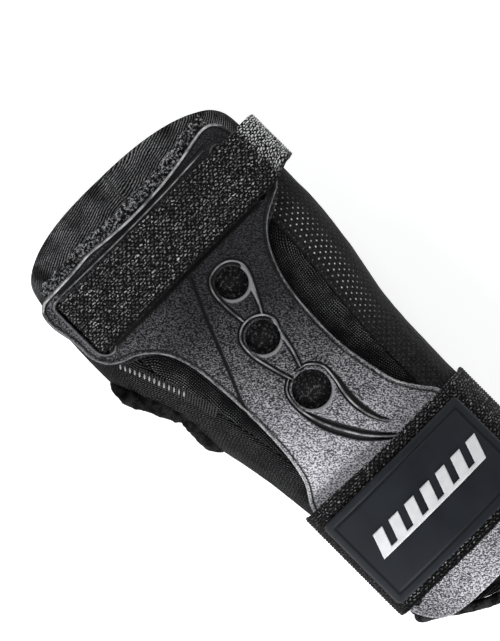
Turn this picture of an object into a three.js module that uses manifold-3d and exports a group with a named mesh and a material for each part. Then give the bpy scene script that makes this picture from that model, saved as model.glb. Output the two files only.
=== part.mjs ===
// Wrist guard for snowboarding or skiing, right hand, lying palm down. Millimetres.
// +Y points to the fingers, -X to the thumb, +Z to the back of the hand.
// The origin lies on the flat skid face of the palm splint, under the wrist.
//
// Everything is built round one surface, the inside of the sleeve: a row of rounded sections
// along Y. Sleeve panels, pads, splints and straps lie at rising distances from it.

import * as THREE from 'three';
import { mergeVertices } from 'three/addons/utils/BufferGeometryUtils.js';
import Module from 'manifold-3d';

const wasm = await Module();
wasm.setup();

// ---------------------------------------------------------------- driving dimensions

const GAP = 0.4;                  // clearance between pieces that touch
const SLEEVE_THICKNESS = 2.2;
const BAND_THICKNESS = 2.8;       // the finger band is folded double
const BAND_WIDTH = 15;
const BINDING_RADIUS = 2.0;
const THUMB_BINDING_RADIUS = 2.6;
const BAND_CLEARANCE = 0.8;       // from the finger band to the panels it closes, along Y
const HEM_CLEARANCE = 1.2;        // from a binding to the panels it closes, along Y
const PAD_THICKNESS = 3.8;        // distance from the sleeve to the splint at the crown
const PAD_EDGE_DEPTH = 5.5;       // the pad never reaches lower than this under the splint
const SPLINT_THICKNESS = 2.6;
const PALM_SPLINT_THICKNESS = 3.0;
const WEBBING_THICKNESS = 1.5;
const LOOP_THICKNESS = 1.3;
const HOOK_THICKNESS = 1.2;
const LABEL_THICKNESS = 1.8;
const EMBLEM_THICKNESS = 0.8;

// Inside of the sleeve: y, centre x, half width, top z, bottom z, squareness of the section.
const BODY_STATIONS = [
  [-106, 2.5, 34.0, 63.0, 19.0, 2.2],
  [-60, 3.5, 33.8, 60.5, 16.5, 2.2],
  [-30, 2.5, 35.0, 58.5, 13.0, 2.3],
  [0, 0.8, 38.0, 57.0, 12.0, 2.4],
  [20, -0.2, 42.5, 56.0, 12.0, 2.4],
  [40, -1.5, 46.5, 54.5, 12.0, 2.5],
  [60, -1.8, 47.2, 52.0, 14.0, 2.5],
  [80, -1.3, 46.3, 49.0, 17.5, 2.5],
  [107, 0.0, 43.0, 45.5, 22.0, 2.5],
];

// Sleeve edges, and the seams between its panels as section angles from the top, ulnar side positive.
const FINGER_EDGE = { middle: 92, backRise: 12.5, palmDrop: 4, tilt: 1.8 };
const CUFF_EDGE = { middle: -88, tongue: 15, tongueWidth: 0.75 };
const SEAM_ULNAR = 0.65;
const SEAM_PALM_ULNAR = 1.95;
const SEAM_PALM_RADIAL = 2 * Math.PI - 2.4;
const SEAM_RADIAL = 2 * Math.PI - 0.75;
const SEAM_GAP_ANGLE = 0.011;
const THUMB_HOLE = { y: 27, z: 33, halfLength: 21, halfHeight: 11 };

// Dorsal splint: y and how fast its cross arch falls away from its centre line.
const SPLINT_ARCH = [
  [-96, 0.0070],
  [-40, 0.0072],
  [0, 0.0070],
  [40, 0.0048],
  [65, 0.0036],
  [93, 0.0034],
];
const SPLINT_CENTRE_X = -1;
const SPLINT_OUTLINE = [
  [-47.5, 87.3], [-36, 87.5], [-24, 88.4], [-10, 87], [5, 87], [20, 88.4], [33, 91], [38.5, 91], [42.3, 87.5],
  [43.8, 79], [43.9, 66], [42.8, 59.2], [38, 55.8], [31, 52], [25.3, 46], [20.8, 37], [18.4, 27], [17.3, 13],
  [17.4, 2], [19.2, -10], [22, -21], [26.5, -28.5], [30.5, -34], [32.3, -42], [32.6, -60], [32.3, -79],
  [30, -87.5], [24, -93.4], [17, -94.8], [-19, -94.8], [-25.8, -92.6], [-31, -86.5], [-33.6, -78], [-34, -60],
  [-33.8, -41], [-31.6, -32], [-27, -24], [-24.6, -12], [-24, 3], [-24.8, 20], [-26.6, 34], [-30.5, 43.5],
  [-37.5, 50], [-46, 54], [-49.6, 60], [-50.4, 70], [-51.9, 79], [-50.9, 84.8],
];
const VENT_HOLES = [
  { x: 5, y: 44.4, radius: 6 },
  { x: -0.8, y: 23, radius: 6.2 },
  { x: -1.6, y: -2.3, radius: 7.1 },
];
const SLOT_WIDTH = 3.6;

// Palm splint: flat skid between two ends that rise to the palm and the forearm.
const SKID = { yLow: -20, yHigh: 40, halfWidth: 14, proximalSlope: 0.22, distalSlope: 0.25, edgeCurl: 0.02 };
const PALM_SPLINT_HALF_OUTLINE = [
  [0, 57], [14, 54.5], [22, 46], [24.5, 32], [23, 10], [20, -10], [19.5, -28], [21.5, -45], [20, -60],
  [13, -68.5], [0, -70.5],
];

// Straps, as ranges along Y, and where they turn.
const HAND_STRAP = {
  yLow: 58.6, yHigh: 82.6, slotX: -44.5, ulnarSlotX: 34.5, hingeX: 45.2, reachX: 52.4, tipX: 22,
};
const FOREARM_STRAP = { yLow: -83.5, yHigh: -36.8, hingeX: 34.8, tipStartX: -31, sewnX: -16 };
const LOOP_BAND = { yLow: -82, yHigh: -38.5, slotRadialX: -28, slotUlnarX: 26 };
const LABEL = { yLow: -76.5, yHigh: -41.8, radialX: -30.2, ulnarX: 32.6, slant: 0.085 };
const EMBLEM = { barCount: 7, barWidth: 4.6, pitch: 7.7, height: 9, lean: 3.2, spine: 1.6, centreY: -58.2 };

// Heights of the layers above the dorsal splint, at the middle of each.
const WEB_ON_SPLINT = GAP + WEBBING_THICKNESS / 2;
const LOOP_ON_SPLINT = GAP + LOOP_THICKNESS / 2;
const HOOK_ON_SPLINT = 2 * GAP + LOOP_THICKNESS + HOOK_THICKNESS / 2;
const FLAP_ON_SPLINT = 3 * GAP + LOOP_THICKNESS + HOOK_THICKNESS + WEBBING_THICKNESS / 2;
const LABEL_ON_SPLINT = FLAP_ON_SPLINT + WEBBING_THICKNESS / 2 + GAP + LABEL_THICKNESS / 2;
const EMBLEM_ON_SPLINT = LABEL_ON_SPLINT + LABEL_THICKNESS / 2 + GAP + EMBLEM_THICKNESS / 2;
const STRAP_SLACK = 0.8;          // between the forearm strap and the side of the sleeve
const HINGE_CLEARANCE = 1.3;      // from a strap's hinge line to the ends of its two halves

// ---------------------------------------------------------------- the surfaces that pieces follow

function spread(low, high, count) {
  return Array.from({ length: count + 1 }, (_, i) => low + ((high - low) * i) / count);
}

// Smooth value of one column of a station table at y.
function stationValue(stations, column, y) {
  const last = stations.length - 1;
  const at = THREE.MathUtils.clamp(y, stations[0][0], stations[last][0]);
  let i = 0;
  while (i < last - 1 && stations[i + 1][0] < at) i += 1;
  const slope = (k) => {
    const before = stations[Math.max(k - 1, 0)];
    const after = stations[Math.min(k + 1, last)];
    return (after[column] - before[column]) / (after[0] - before[0]);
  };
  const [low, high] = [stations[i], stations[i + 1]];
  const span = high[0] - low[0];
  const t = (at - low[0]) / span;
  const rise = t * t * (3 - 2 * t);
  const leave = t * (1 - t) * (1 - t) * span * slope(i);
  const arrive = t * t * (t - 1) * span * slope(i + 1);
  return low[column] + rise * (high[column] - low[column]) + leave + arrive;
}

function bodySection(y) {
  const columns = [1, 2, 3, 4, 5];
  const [centreX, halfWidth, top, bottom, squareness] = columns.map((c) => stationValue(BODY_STATIONS, c, y));
  return { centreX, halfWidth, centreZ: (top + bottom) / 2, halfHeight: (top - bottom) / 2, squareness };
}

// A point of the sleeve's inside, moved outwards by distance. Angle 0 is the top, positive to the ulnar side.
function bodyPoint(angle, y, distance) {
  const s = bodySection(y);
  const power = 2 / s.squareness;
  const across = Math.sign(Math.sin(angle)) * Math.abs(Math.sin(angle)) ** power;
  const up = Math.sign(Math.cos(angle)) * Math.abs(Math.cos(angle)) ** power;
  return [s.centreX + (s.halfWidth + distance) * across, y, s.centreZ + (s.halfHeight + distance) * up];
}

// Height of that surface over x, on its upper (side 1) or lower (side -1) half.
function bodyHeight(x, y, distance, side) {
  const s = bodySection(y);
  const ratio = Math.min(Math.abs(x - s.centreX) / (s.halfWidth + distance), 0.999);
  return s.centreZ + side * (s.halfHeight + distance) * (1 - ratio ** s.squareness) ** (1 / s.squareness);
}

function splintInner(x, y) {
  const crown = bodyHeight(bodySection(y).centreX, y, 0, 1) + SLEEVE_THICKNESS + PAD_THICKNESS;
  return crown - stationValue(SPLINT_ARCH, 1, y) * (x - SPLINT_CENTRE_X) ** 2;
}

function splintOuter(x, y) {
  return splintInner(x, y) + SPLINT_THICKNESS;
}

function palmSplintOuter(x, y) {
  const ramp = (d, slope) => (d > 0 ? slope * (Math.hypot(d, 4) - 4) : 0);
  const curl = SKID.edgeCurl * Math.max(0, Math.abs(x) - SKID.halfWidth) ** 2;
  return ramp(SKID.yLow - y, SKID.proximalSlope) + ramp(y - SKID.yHigh, SKID.distalSlope) + curl;
}

function palmSplintInner(x, y) {
  return palmSplintOuter(x, y) + PALM_SPLINT_THICKNESS;
}

function fingerEdgeY(angle) {
  const up = Math.cos(angle);
  const rise = up * (up > 0 ? FINGER_EDGE.backRise : FINGER_EDGE.palmDrop);
  return FINGER_EDGE.middle + rise - FINGER_EDGE.tilt * Math.sin(angle);
}

function cuffEdgeY(angle) {
  const fromTop = Math.atan2(Math.sin(angle), Math.cos(angle));
  return CUFF_EDGE.middle - CUFF_EDGE.tongue * Math.exp(-((fromTop / CUFF_EDGE.tongueWidth) ** 2));
}

// ---------------------------------------------------------------- building blocks

function closedGeometry(positions, triangles) {
  const geometry = new THREE.BufferGeometry();
  geometry.setAttribute('position', new THREE.Float32BufferAttribute(positions, 3));
  let volume = 0;
  const [a, b, c] = [new THREE.Vector3(), new THREE.Vector3(), new THREE.Vector3()];
  for (let i = 0; i < triangles.length; i += 3) {
    a.fromArray(positions, triangles[i] * 3);
    b.fromArray(positions, triangles[i + 1] * 3);
    c.fromArray(positions, triangles[i + 2] * 3);
    volume += a.dot(b.cross(c));
  }
  geometry.setIndex(volume > 0 ? triangles : triangles.toReversed());
  return geometry;
}

// A thick sheet. pointAt(u, v, side) gives its two faces, side 0 and side 1.
// A closed one joins its last u to its first.
function shell(us, vs, pointAt, closed = false) {
  const positions = [0, 1].flatMap((side) => us.flatMap((u) => vs.flatMap((v) => pointAt(u, v, side))));
  const index = (side, i, j) => (side * us.length + (i % us.length)) * vs.length + j;
  const triangles = [];
  const quad = (a, b, c, d) => triangles.push(a, b, c, a, c, d);
  const spans = closed ? us.length : us.length - 1;
  const end = vs.length - 1;
  for (let i = 0; i < spans; i += 1) {
    for (let j = 0; j < end; j += 1) {
      quad(index(1, i, j), index(1, i + 1, j), index(1, i + 1, j + 1), index(1, i, j + 1));
      quad(index(0, i, j), index(0, i, j + 1), index(0, i + 1, j + 1), index(0, i + 1, j));
    }
    quad(index(0, i, 0), index(0, i + 1, 0), index(1, i + 1, 0), index(1, i, 0));
    quad(index(0, i, end), index(1, i, end), index(1, i + 1, end), index(0, i + 1, end));
  }
  for (let j = 0; j < end && !closed; j += 1) {
    quad(index(0, 0, j), index(1, 0, j), index(1, 0, j + 1), index(0, 0, j + 1));
    quad(index(0, spans, j), index(0, spans, j + 1), index(1, spans, j + 1), index(1, spans, j));
  }
  return closedGeometry(positions, triangles);
}

// A round tube along a closed loop. centreAt(angle) is its centre line, and reference is a direction that the
// loop never runs along: the corners of the tube's section are counted from it.
function loopTube(centreAt, reference, radius, steps, sides) {
  const positions = [];
  const step = (2 * Math.PI) / steps;
  for (let i = 0; i < steps; i += 1) {
    const centre = new THREE.Vector3(...centreAt(i * step));
    const ahead = new THREE.Vector3(...centreAt((i + 0.5) * step));
    const behind = new THREE.Vector3(...centreAt((i - 0.5) * step));
    const along = ahead.sub(behind).normalize();
    const first = reference.clone().addScaledVector(along, -reference.dot(along)).normalize();
    const second = along.clone().cross(first);
    for (let k = 0; k < sides; k += 1) {
      const turn = (2 * Math.PI * k) / sides;
      const corner = centre.clone().addScaledVector(first, radius * Math.cos(turn));
      positions.push(...corner.addScaledVector(second, radius * Math.sin(turn)).toArray());
    }
  }
  const triangles = [];
  for (let i = 0; i < steps; i += 1) {
    for (let k = 0; k < sides; k += 1) {
      const near = i * sides;
      const far = ((i + 1) % steps) * sides;
      const next = (k + 1) % sides;
      triangles.push(near + k, far + k, far + next, near + k, far + next, near + next);
    }
  }
  return closedGeometry(positions, triangles);
}

function toSolid(geometry) {
  const bare = geometry.clone();
  bare.deleteAttribute('normal');
  bare.deleteAttribute('uv');
  const merged = mergeVertices(bare, 1e-4);
  return new wasm.Manifold(new wasm.Mesh({
    numProp: 3,
    vertProperties: new Float32Array(merged.attributes.position.array),
    triVerts: new Uint32Array(merged.index.array),
  }));
}

function toGeometry(solid) {
  const mesh = solid.getMesh();
  const geometry = new THREE.BufferGeometry();
  geometry.setAttribute('position', new THREE.Float32BufferAttribute(Array.from(mesh.vertProperties), 3));
  geometry.setIndex(Array.from(mesh.triVerts));
  return geometry;
}

function roundOutline(points, count) {
  const corners = points.map(([x, y]) => new THREE.Vector3(x, y, 0));
  const curve = new THREE.CatmullRomCurve3(corners, true, 'centripetal');
  return new THREE.Shape(curve.getPoints(count).slice(0, -1).map((p) => new THREE.Vector2(p.x, p.y)));
}

function rectangle(xLow, xHigh, yLow, yHigh) {
  const shape = new THREE.Shape();
  shape.moveTo(xLow, yLow);
  shape.lineTo(xHigh, yLow);
  shape.lineTo(xHigh, yHigh);
  shape.lineTo(xLow, yHigh);
  return shape;
}

function circleHole(x, y, radius) {
  const path = new THREE.Path();
  path.absarc(x, y, radius, 0, 2 * Math.PI, false);
  return path;
}

function slotHole(x, yLow, yHigh) {
  const path = new THREE.Path();
  const half = SLOT_WIDTH / 2;
  path.absarc(x, yHigh - half, half, 0, Math.PI, false);
  path.absarc(x, yLow + half, half, Math.PI, 2 * Math.PI, false);
  return path;
}

// A sheet between two heights over (x, y), cut to an outline that may have holes.
function cutSheet(outline, xs, ys, lower, upper) {
  const blank = shell(xs, ys, (x, y, side) => [x, y, side ? upper(x, y) : lower(x, y)]);
  const cutter = new THREE.ExtrudeGeometry(outline, { depth: 120, bevelEnabled: false, curveSegments: 6 });
  cutter.translate(0, 0, -20);
  return toGeometry(toSolid(blank).intersect(toSolid(cutter)));
}

// Webbing that runs across the guard. pathAt(y) gives its middle line as [x, z] points at that y.
function ribbon(pathAt, thickness, yLow, yHigh, steps) {
  const curves = new Map();
  const curveAt = (y) => {
    if (!curves.has(y)) {
      const points = pathAt(y).map(([x, z]) => new THREE.Vector3(x, y, z));
      curves.set(y, new THREE.CatmullRomCurve3(points, false, 'centripetal'));
    }
    return curves.get(y);
  };
  return shell(spread(0, 1, steps), spread(yLow, yHigh, 3), (t, y, side) => {
    const middle = curveAt(y).getPoint(t);
    const along = curveAt(y).getTangent(t);
    const offset = (side - 0.5) * thickness;
    return [middle.x - along.z * offset, y, middle.z + along.x * offset];
  });
}

// ---------------------------------------------------------------- sleeve

function sleevePanel(seamLow, seamHigh, columns) {
  const us = spread(seamLow + SEAM_GAP_ANGLE / 2, seamHigh - SEAM_GAP_ANGLE / 2, columns);
  return shell(us, spread(0, 1, 18), (u, v, side) => {
    const start = cuffEdgeY(u) + BINDING_RADIUS + HEM_CLEARANCE;
    const end = fingerEdgeY(u) - BAND_WIDTH - BAND_CLEARANCE;
    return bodyPoint(u, THREE.MathUtils.lerp(start, end, v), side * SLEEVE_THICKNESS);
  });
}

function thumbHolePoint(turn, grow) {
  const y = THUMB_HOLE.y + (THUMB_HOLE.halfLength + grow) * Math.cos(turn);
  const z = THUMB_HOLE.z + (THUMB_HOLE.halfHeight + grow) * Math.sin(turn);
  return [y, z];
}

function radialPanel() {
  const panel = toSolid(sleevePanel(SEAM_PALM_RADIAL, SEAM_RADIAL, 12));
  const grow = THUMB_BINDING_RADIUS + GAP;
  const outline = new THREE.Shape(spread(0, 2 * Math.PI, 36).slice(0, -1).map((turn) => {
    const [y, z] = thumbHolePoint(turn, grow);
    return new THREE.Vector2(y, z);
  }));
  const cutter = new THREE.ExtrudeGeometry(outline, { depth: 60, bevelEnabled: false });
  // Turned so that the outline's first axis lies along Y, its second along Z, and its depth along X.
  cutter.applyMatrix4(new THREE.Matrix4().set(0, 0, 1, -75, 1, 0, 0, 0, 0, 1, 0, 0, 0, 0, 0, 1));
  return toGeometry(panel.subtract(toSolid(cutter)));
}

function thumbHoleBinding() {
  return loopTube((turn) => {
    const [y, z] = thumbHolePoint(turn, 0);
    const s = bodySection(y);
    const ratio = Math.abs(z - s.centreZ) / s.halfHeight;
    const reach = (1 - ratio ** s.squareness) ** (1 / s.squareness);
    return [s.centreX - s.halfWidth * reach - SLEEVE_THICKNESS / 2, y, z];
  }, new THREE.Vector3(-1, 0, 0), THUMB_BINDING_RADIUS, 36, 8);
}

function fingerEdgeBand() {
  return shell(spread(0, 2 * Math.PI, 40).slice(0, -1), spread(-BAND_WIDTH, 0, 2), (u, v, side) => (
    bodyPoint(u, fingerEdgeY(u) + v, side * BAND_THICKNESS)
  ), true);
}

function cuffBinding() {
  const centreAt = (u) => bodyPoint(u, cuffEdgeY(u), SLEEVE_THICKNESS / 2);
  return loopTube(centreAt, new THREE.Vector3(0, -1, 0), BINDING_RADIUS, 48, 8);
}

// ---------------------------------------------------------------- pads and splints

function shrunk(points, inset) {
  return points.map(([x, y]) => [x - Math.sign(x) * inset, y - Math.sign(y) * inset]);
}

function dorsalFoamPad() {
  return cutSheet(
    roundOutline(shrunk(SPLINT_OUTLINE, 3), 90),
    spread(-54, 48, 18),
    spread(-98, 95, 18),
    (x, y) => Math.max(bodyHeight(x, y, BAND_THICKNESS, 1), splintInner(x, y) - PAD_EDGE_DEPTH) + GAP,
    (x, y) => splintInner(x, y) - GAP,
  );
}

function palmSplintOutline(inset) {
  const ulnar = PALM_SPLINT_HALF_OUTLINE;
  const radial = ulnar.slice(1, -1).map(([x, y]) => [-x, y]).reverse();
  return roundOutline(shrunk([...ulnar, ...radial], inset), 60);
}

const SKID_XS = [-26, -20, -SKID.halfWidth, -7, 0, 7, SKID.halfWidth, 20, 26];

function palmFoamPad() {
  const lower = (x, y) => palmSplintInner(x, y) + GAP;
  return cutSheet(palmSplintOutline(4), SKID_XS, spread(-72, 58, 16), lower, (x, y) => (
    Math.max(bodyHeight(x, y, SLEEVE_THICKNESS, -1) - GAP, lower(x, y) + 0.8)
  ));
}

function dorsalSplint() {
  const outline = roundOutline(SPLINT_OUTLINE, 130);
  const { slotX, ulnarSlotX, yLow, yHigh } = HAND_STRAP;
  outline.holes.push(slotHole(slotX, yLow - 1.2, yHigh + 1.2));
  outline.holes.push(slotHole(ulnarSlotX, yLow - 1.2, yHigh + 1.2));
  outline.holes.push(slotHole(LOOP_BAND.slotRadialX, LOOP_BAND.yLow - 1.5, LOOP_BAND.yHigh + 4));
  outline.holes.push(slotHole(LOOP_BAND.slotUlnarX, LOOP_BAND.yLow - 1.5, LOOP_BAND.yHigh + 4));
  for (const hole of VENT_HOLES) outline.holes.push(circleHole(hole.x, hole.y, hole.radius));
  return cutSheet(outline, spread(-54, 48, 14), spread(-98, 95, 20), splintInner, splintOuter);
}

function palmSplint() {
  const ys = [...spread(-72, SKID.yLow, 7), 10, ...spread(SKID.yHigh, 58, 3)];
  return cutSheet(palmSplintOutline(0), SKID_XS, ys, palmSplintOuter, palmSplintInner);
}

// ---------------------------------------------------------------- straps

// Points along a layer that lies on the dorsal splint between two x positions.
function overSplint(y, height, xLow, xHigh, count) {
  return spread(xLow, xHigh, count).map((x) => [x, splintOuter(x, y) + height]);
}

// The turn of webbing from the top of the splint down into a slot, from the slot's foot to the top.
function intoSlot(y, slotX, inward, height) {
  const top = splintOuter(slotX, y) + height;
  return [
    [slotX, splintInner(slotX, y) + 0.3],
    [slotX, top - 1.9],
    [slotX + inward * 0.55, top - 0.55],
  ];
}

function handStrapBase() {
  return ribbon((y) => [
    ...intoSlot(y, HAND_STRAP.slotX, 1, WEB_ON_SPLINT),
    ...overSplint(y, WEB_ON_SPLINT, HAND_STRAP.slotX + 1.9, HAND_STRAP.hingeX - HINGE_CLEARANCE, 10),
  ], WEBBING_THICKNESS, HAND_STRAP.yLow, HAND_STRAP.yHigh, 26);
}

// Middle of the strap's hinge line at y, on the ulnar edge of the splint.
function handHingeZ(y) {
  return splintOuter(HAND_STRAP.hingeX, y) + WEB_ON_SPLINT;
}

// Layers under the palm, counted down from the sleeve: loop patch, hook tape, webbing.
const LOOP_UNDER_PALM = BAND_THICKNESS + GAP + 0.2;
const HOOK_UNDER_PALM = LOOP_UNDER_PALM + HOOK_THICKNESS + GAP;
const WEB_UNDER_PALM = HOOK_UNDER_PALM + HOOK_THICKNESS + GAP + WEBBING_THICKNESS / 2;

function handStrapFlap() {
  return ribbon((y) => {
    const hingeZ = handHingeZ(y);
    const { centreZ } = bodySection(y);
    const underPalm = (x) => [x, bodyHeight(x, y, 0, -1) - WEB_UNDER_PALM];
    return [
      [HAND_STRAP.hingeX + 0.9, hingeZ - 1.1],
      [HAND_STRAP.reachX - 2.6, hingeZ - 3],
      [HAND_STRAP.reachX - 0.3, hingeZ - 8],
      [HAND_STRAP.reachX, centreZ],
      [HAND_STRAP.reachX - 1.4, centreZ - 8.5],
      [HAND_STRAP.reachX - 4.6, centreZ - 13.8],
      [HAND_STRAP.reachX - 10, centreZ - 17.2],
      underPalm(32),
      underPalm(27),
      underPalm(HAND_STRAP.tipX),
    ];
  }, WEBBING_THICKNESS, HAND_STRAP.yLow, HAND_STRAP.yHigh, 20);
}

function underPalmPatch(xLow, xHigh, inset, distance) {
  const yLow = HAND_STRAP.yLow + inset;
  const yHigh = HAND_STRAP.yHigh - inset;
  return shell(spread(xLow, xHigh, 5), spread(yLow, yHigh, 3), (x, y, side) => (
    [x, y, bodyHeight(x, y, 0, -1) - distance - side * HOOK_THICKNESS]
  ));
}

// Middle line of the forearm strap's flap at y.
function forearmFlapZ(x, y) {
  return splintOuter(x, y) + FLAP_ON_SPLINT;
}

function forearmStrapBase() {
  return ribbon((y) => {
    const { centreZ } = bodySection(y);
    const under = (x) => [x, palmSplintOuter(x, y) - GAP - WEBBING_THICKNESS / 2];
    const skidZ = palmSplintOuter(0, y);
    const side = bodyPoint(Math.PI / 2, y, SLEEVE_THICKNESS + STRAP_SLACK + WEBBING_THICKNESS / 2)[0];
    const hingeZ = forearmFlapZ(FOREARM_STRAP.hingeX, y);
    return [
      under(FOREARM_STRAP.sewnX),
      under(0),
      under(13),
      [24, skidZ + 0.4],
      [32.6, skidZ + 6.8],
      [38.4, skidZ + 17],
      [side, centreZ],
      [side - 0.4, centreZ + 9.5],
      [38.6, hingeZ - 6.5],
      [FOREARM_STRAP.hingeX + 0.9, hingeZ - 1.3],
    ];
  }, WEBBING_THICKNESS, FOREARM_STRAP.yLow, FOREARM_STRAP.yHigh, 26);
}

function forearmStrapFlap() {
  return ribbon((y) => overSplint(
    y, FLAP_ON_SPLINT, FOREARM_STRAP.tipStartX + 0.7, FOREARM_STRAP.hingeX - HINGE_CLEARANCE, 10,
  ), WEBBING_THICKNESS, FOREARM_STRAP.yLow, FOREARM_STRAP.yHigh, 18);
}

function forearmStrapTip() {
  return ribbon((y) => {
    const rootZ = forearmFlapZ(FOREARM_STRAP.tipStartX, y);
    return [
      [FOREARM_STRAP.tipStartX - 0.7, rootZ - 0.3],
      [-33.6, rootZ - 1.6],
      [-35.4, rootZ - 4.6],
      [-36.2, rootZ - 9.5],
    ];
  }, WEBBING_THICKNESS, FOREARM_STRAP.yLow, FOREARM_STRAP.yHigh, 7);
}

function forearmHookTape() {
  return ribbon(
    (y) => overSplint(y, HOOK_ON_SPLINT, -25, 6, 6),
    HOOK_THICKNESS, FOREARM_STRAP.yLow + 3, FOREARM_STRAP.yHigh - 3, 8,
  );
}

function forearmLoopBand() {
  return ribbon((y) => [
    ...intoSlot(y, LOOP_BAND.slotRadialX, 1, LOOP_ON_SPLINT),
    ...overSplint(y, LOOP_ON_SPLINT, LOOP_BAND.slotRadialX + 1.9, LOOP_BAND.slotUlnarX - 1.9, 8),
    ...intoSlot(y, LOOP_BAND.slotUlnarX, -1, LOOP_ON_SPLINT).reverse(),
  ], LOOP_THICKNESS, LOOP_BAND.yLow, LOOP_BAND.yHigh, 30);
}

// The label is sewn on a little askew: its long sides fall away toward the ulnar end.
function forearmLabel() {
  const middleX = (LABEL.radialX + LABEL.ulnarX) / 2;
  return shell(spread(LABEL.radialX, LABEL.ulnarX, 14), spread(LABEL.yLow, LABEL.yHigh, 3), (x, v, side) => {
    const y = v - LABEL.slant * (x - middleX);
    return [x, y, splintOuter(x, y) + LABEL_ON_SPLINT + (side - 0.5) * LABEL_THICKNESS];
  });
}

// A plain row of leaning bars on a thin spine.
function labelEmblem() {
  const { barCount, barWidth, pitch, height, lean, spine, centreY } = EMBLEM;
  const left = -((barCount - 1) * pitch + barWidth + lean) / 2 + 1;
  const bottom = centreY - height / 2;
  const top = centreY + height / 2;
  const outline = new THREE.Shape();
  outline.moveTo(left, bottom);
  outline.lineTo(left + (barCount - 1) * pitch + barWidth, bottom);
  for (let i = barCount - 1; i >= 0; i -= 1) {
    const start = left + i * pitch;
    const slope = (lean * spine) / height;
    outline.lineTo(start + barWidth + lean, top);
    outline.lineTo(start + lean, top);
    outline.lineTo(start + slope, bottom + spine);
    if (i > 0) outline.lineTo(start - pitch + barWidth + slope, bottom + spine);
  }
  const lower = (x, y) => splintOuter(x, y) + EMBLEM_ON_SPLINT - EMBLEM_THICKNESS / 2;
  return cutSheet(outline, spread(-32, 34, 12), spread(bottom - 1, top + 1, 2), lower, (x, y) => (
    lower(x, y) + EMBLEM_THICKNESS
  ));
}

// ---------------------------------------------------------------- materials and assembly

const fabric = (color) => new THREE.MeshStandardMaterial({ color, roughness: 0.95, metalness: 0 });
const plastic = (color) => new THREE.MeshStandardMaterial({ color, roughness: 0.5, metalness: 0 });

const KNIT = fabric(0x1b1b1d);
const RIBBED = fabric(0x202022);
const MESH = fabric(0x161617);
const BINDING = fabric(0x141415);
const FOAM = fabric(0x252527);
const WEBBING = fabric(0x1d1d1f);
const TAPE = fabric(0x121213);
const SPLINT = plastic(0x2c2d2f);
const RUBBER = plastic(0x262a30);
const WHITE = plastic(0xe8e8e8);

const PIECES = [
  ['sleeve_dorsal_panel', KNIT, () => sleevePanel(SEAM_RADIAL - 2 * Math.PI, SEAM_ULNAR, 10)],
  ['sleeve_ulnar_mesh_panel', MESH, () => sleevePanel(SEAM_ULNAR, SEAM_PALM_ULNAR, 8)],
  ['sleeve_palm_panel', KNIT, () => sleevePanel(SEAM_PALM_ULNAR, SEAM_PALM_RADIAL, 12)],
  ['sleeve_radial_panel', KNIT, radialPanel],
  ['finger_edge_band', RIBBED, fingerEdgeBand],
  ['cuff_binding', BINDING, cuffBinding],
  ['thumb_hole_binding', BINDING, thumbHoleBinding],
  ['dorsal_foam_pad', FOAM, dorsalFoamPad],
  ['palm_foam_pad', FOAM, palmFoamPad],
  ['dorsal_splint', SPLINT, dorsalSplint],
  ['palm_splint', SPLINT, palmSplint],
  ['hand_strap_base', WEBBING, handStrapBase],
  ['hand_strap_flap', WEBBING, handStrapFlap],
  ['hand_strap_hook_tape', TAPE, () => underPalmPatch(23.5, 32.5, 1.5, HOOK_UNDER_PALM)],
  ['hand_strap_loop_patch', TAPE, () => underPalmPatch(19, 37, 0, LOOP_UNDER_PALM)],
  ['forearm_strap_base', WEBBING, forearmStrapBase],
  ['forearm_strap_flap', WEBBING, forearmStrapFlap],
  ['forearm_strap_tip', WEBBING, forearmStrapTip],
  ['forearm_strap_hook_tape', TAPE, forearmHookTape],
  ['forearm_loop_band', TAPE, forearmLoopBand],
  ['forearm_label', RUBBER, forearmLabel],
  ['label_emblem', WHITE, labelEmblem],
];

const guard = new THREE.Group();
for (const [name, material, build] of PIECES) {
  const mesh = new THREE.Mesh(build(), material);
  mesh.name = name;
  guard.add(mesh);
}

export default guard;
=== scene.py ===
# The looks of a right-hand wrist guard: splints, woven straps, knit sleeve, pads, label and sewing.
# Sizes are in millimetres and are turned to metres where a mesh is made. The frame is the CAD model's:
# +Y to the fingers, -X to the thumb, +Z to the back of the hand.
import math

import bmesh
import bpy
import numpy as np
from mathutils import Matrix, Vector


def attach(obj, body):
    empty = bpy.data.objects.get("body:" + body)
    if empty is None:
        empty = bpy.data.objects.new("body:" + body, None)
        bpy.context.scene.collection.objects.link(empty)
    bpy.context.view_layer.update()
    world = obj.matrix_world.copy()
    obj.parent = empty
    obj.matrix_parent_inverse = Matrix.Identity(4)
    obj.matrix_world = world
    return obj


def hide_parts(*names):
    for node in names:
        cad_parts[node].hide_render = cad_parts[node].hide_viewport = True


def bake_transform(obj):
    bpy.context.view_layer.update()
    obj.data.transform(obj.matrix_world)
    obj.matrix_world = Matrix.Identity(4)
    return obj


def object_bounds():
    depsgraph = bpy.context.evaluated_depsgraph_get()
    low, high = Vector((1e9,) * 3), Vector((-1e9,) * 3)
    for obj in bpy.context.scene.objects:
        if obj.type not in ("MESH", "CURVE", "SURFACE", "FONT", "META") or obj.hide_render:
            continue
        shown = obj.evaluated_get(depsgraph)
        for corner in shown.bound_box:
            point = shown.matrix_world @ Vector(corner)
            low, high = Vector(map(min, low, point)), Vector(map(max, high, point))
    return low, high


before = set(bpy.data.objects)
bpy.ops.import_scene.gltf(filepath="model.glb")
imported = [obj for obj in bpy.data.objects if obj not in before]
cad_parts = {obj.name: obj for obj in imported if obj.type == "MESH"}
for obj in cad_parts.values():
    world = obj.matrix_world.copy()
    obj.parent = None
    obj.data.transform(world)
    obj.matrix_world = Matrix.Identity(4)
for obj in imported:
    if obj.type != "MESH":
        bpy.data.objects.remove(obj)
cad_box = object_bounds()

MM = 0.001

# ---------------------------------------------------------------- driving dimensions, as in the CAD model

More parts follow.
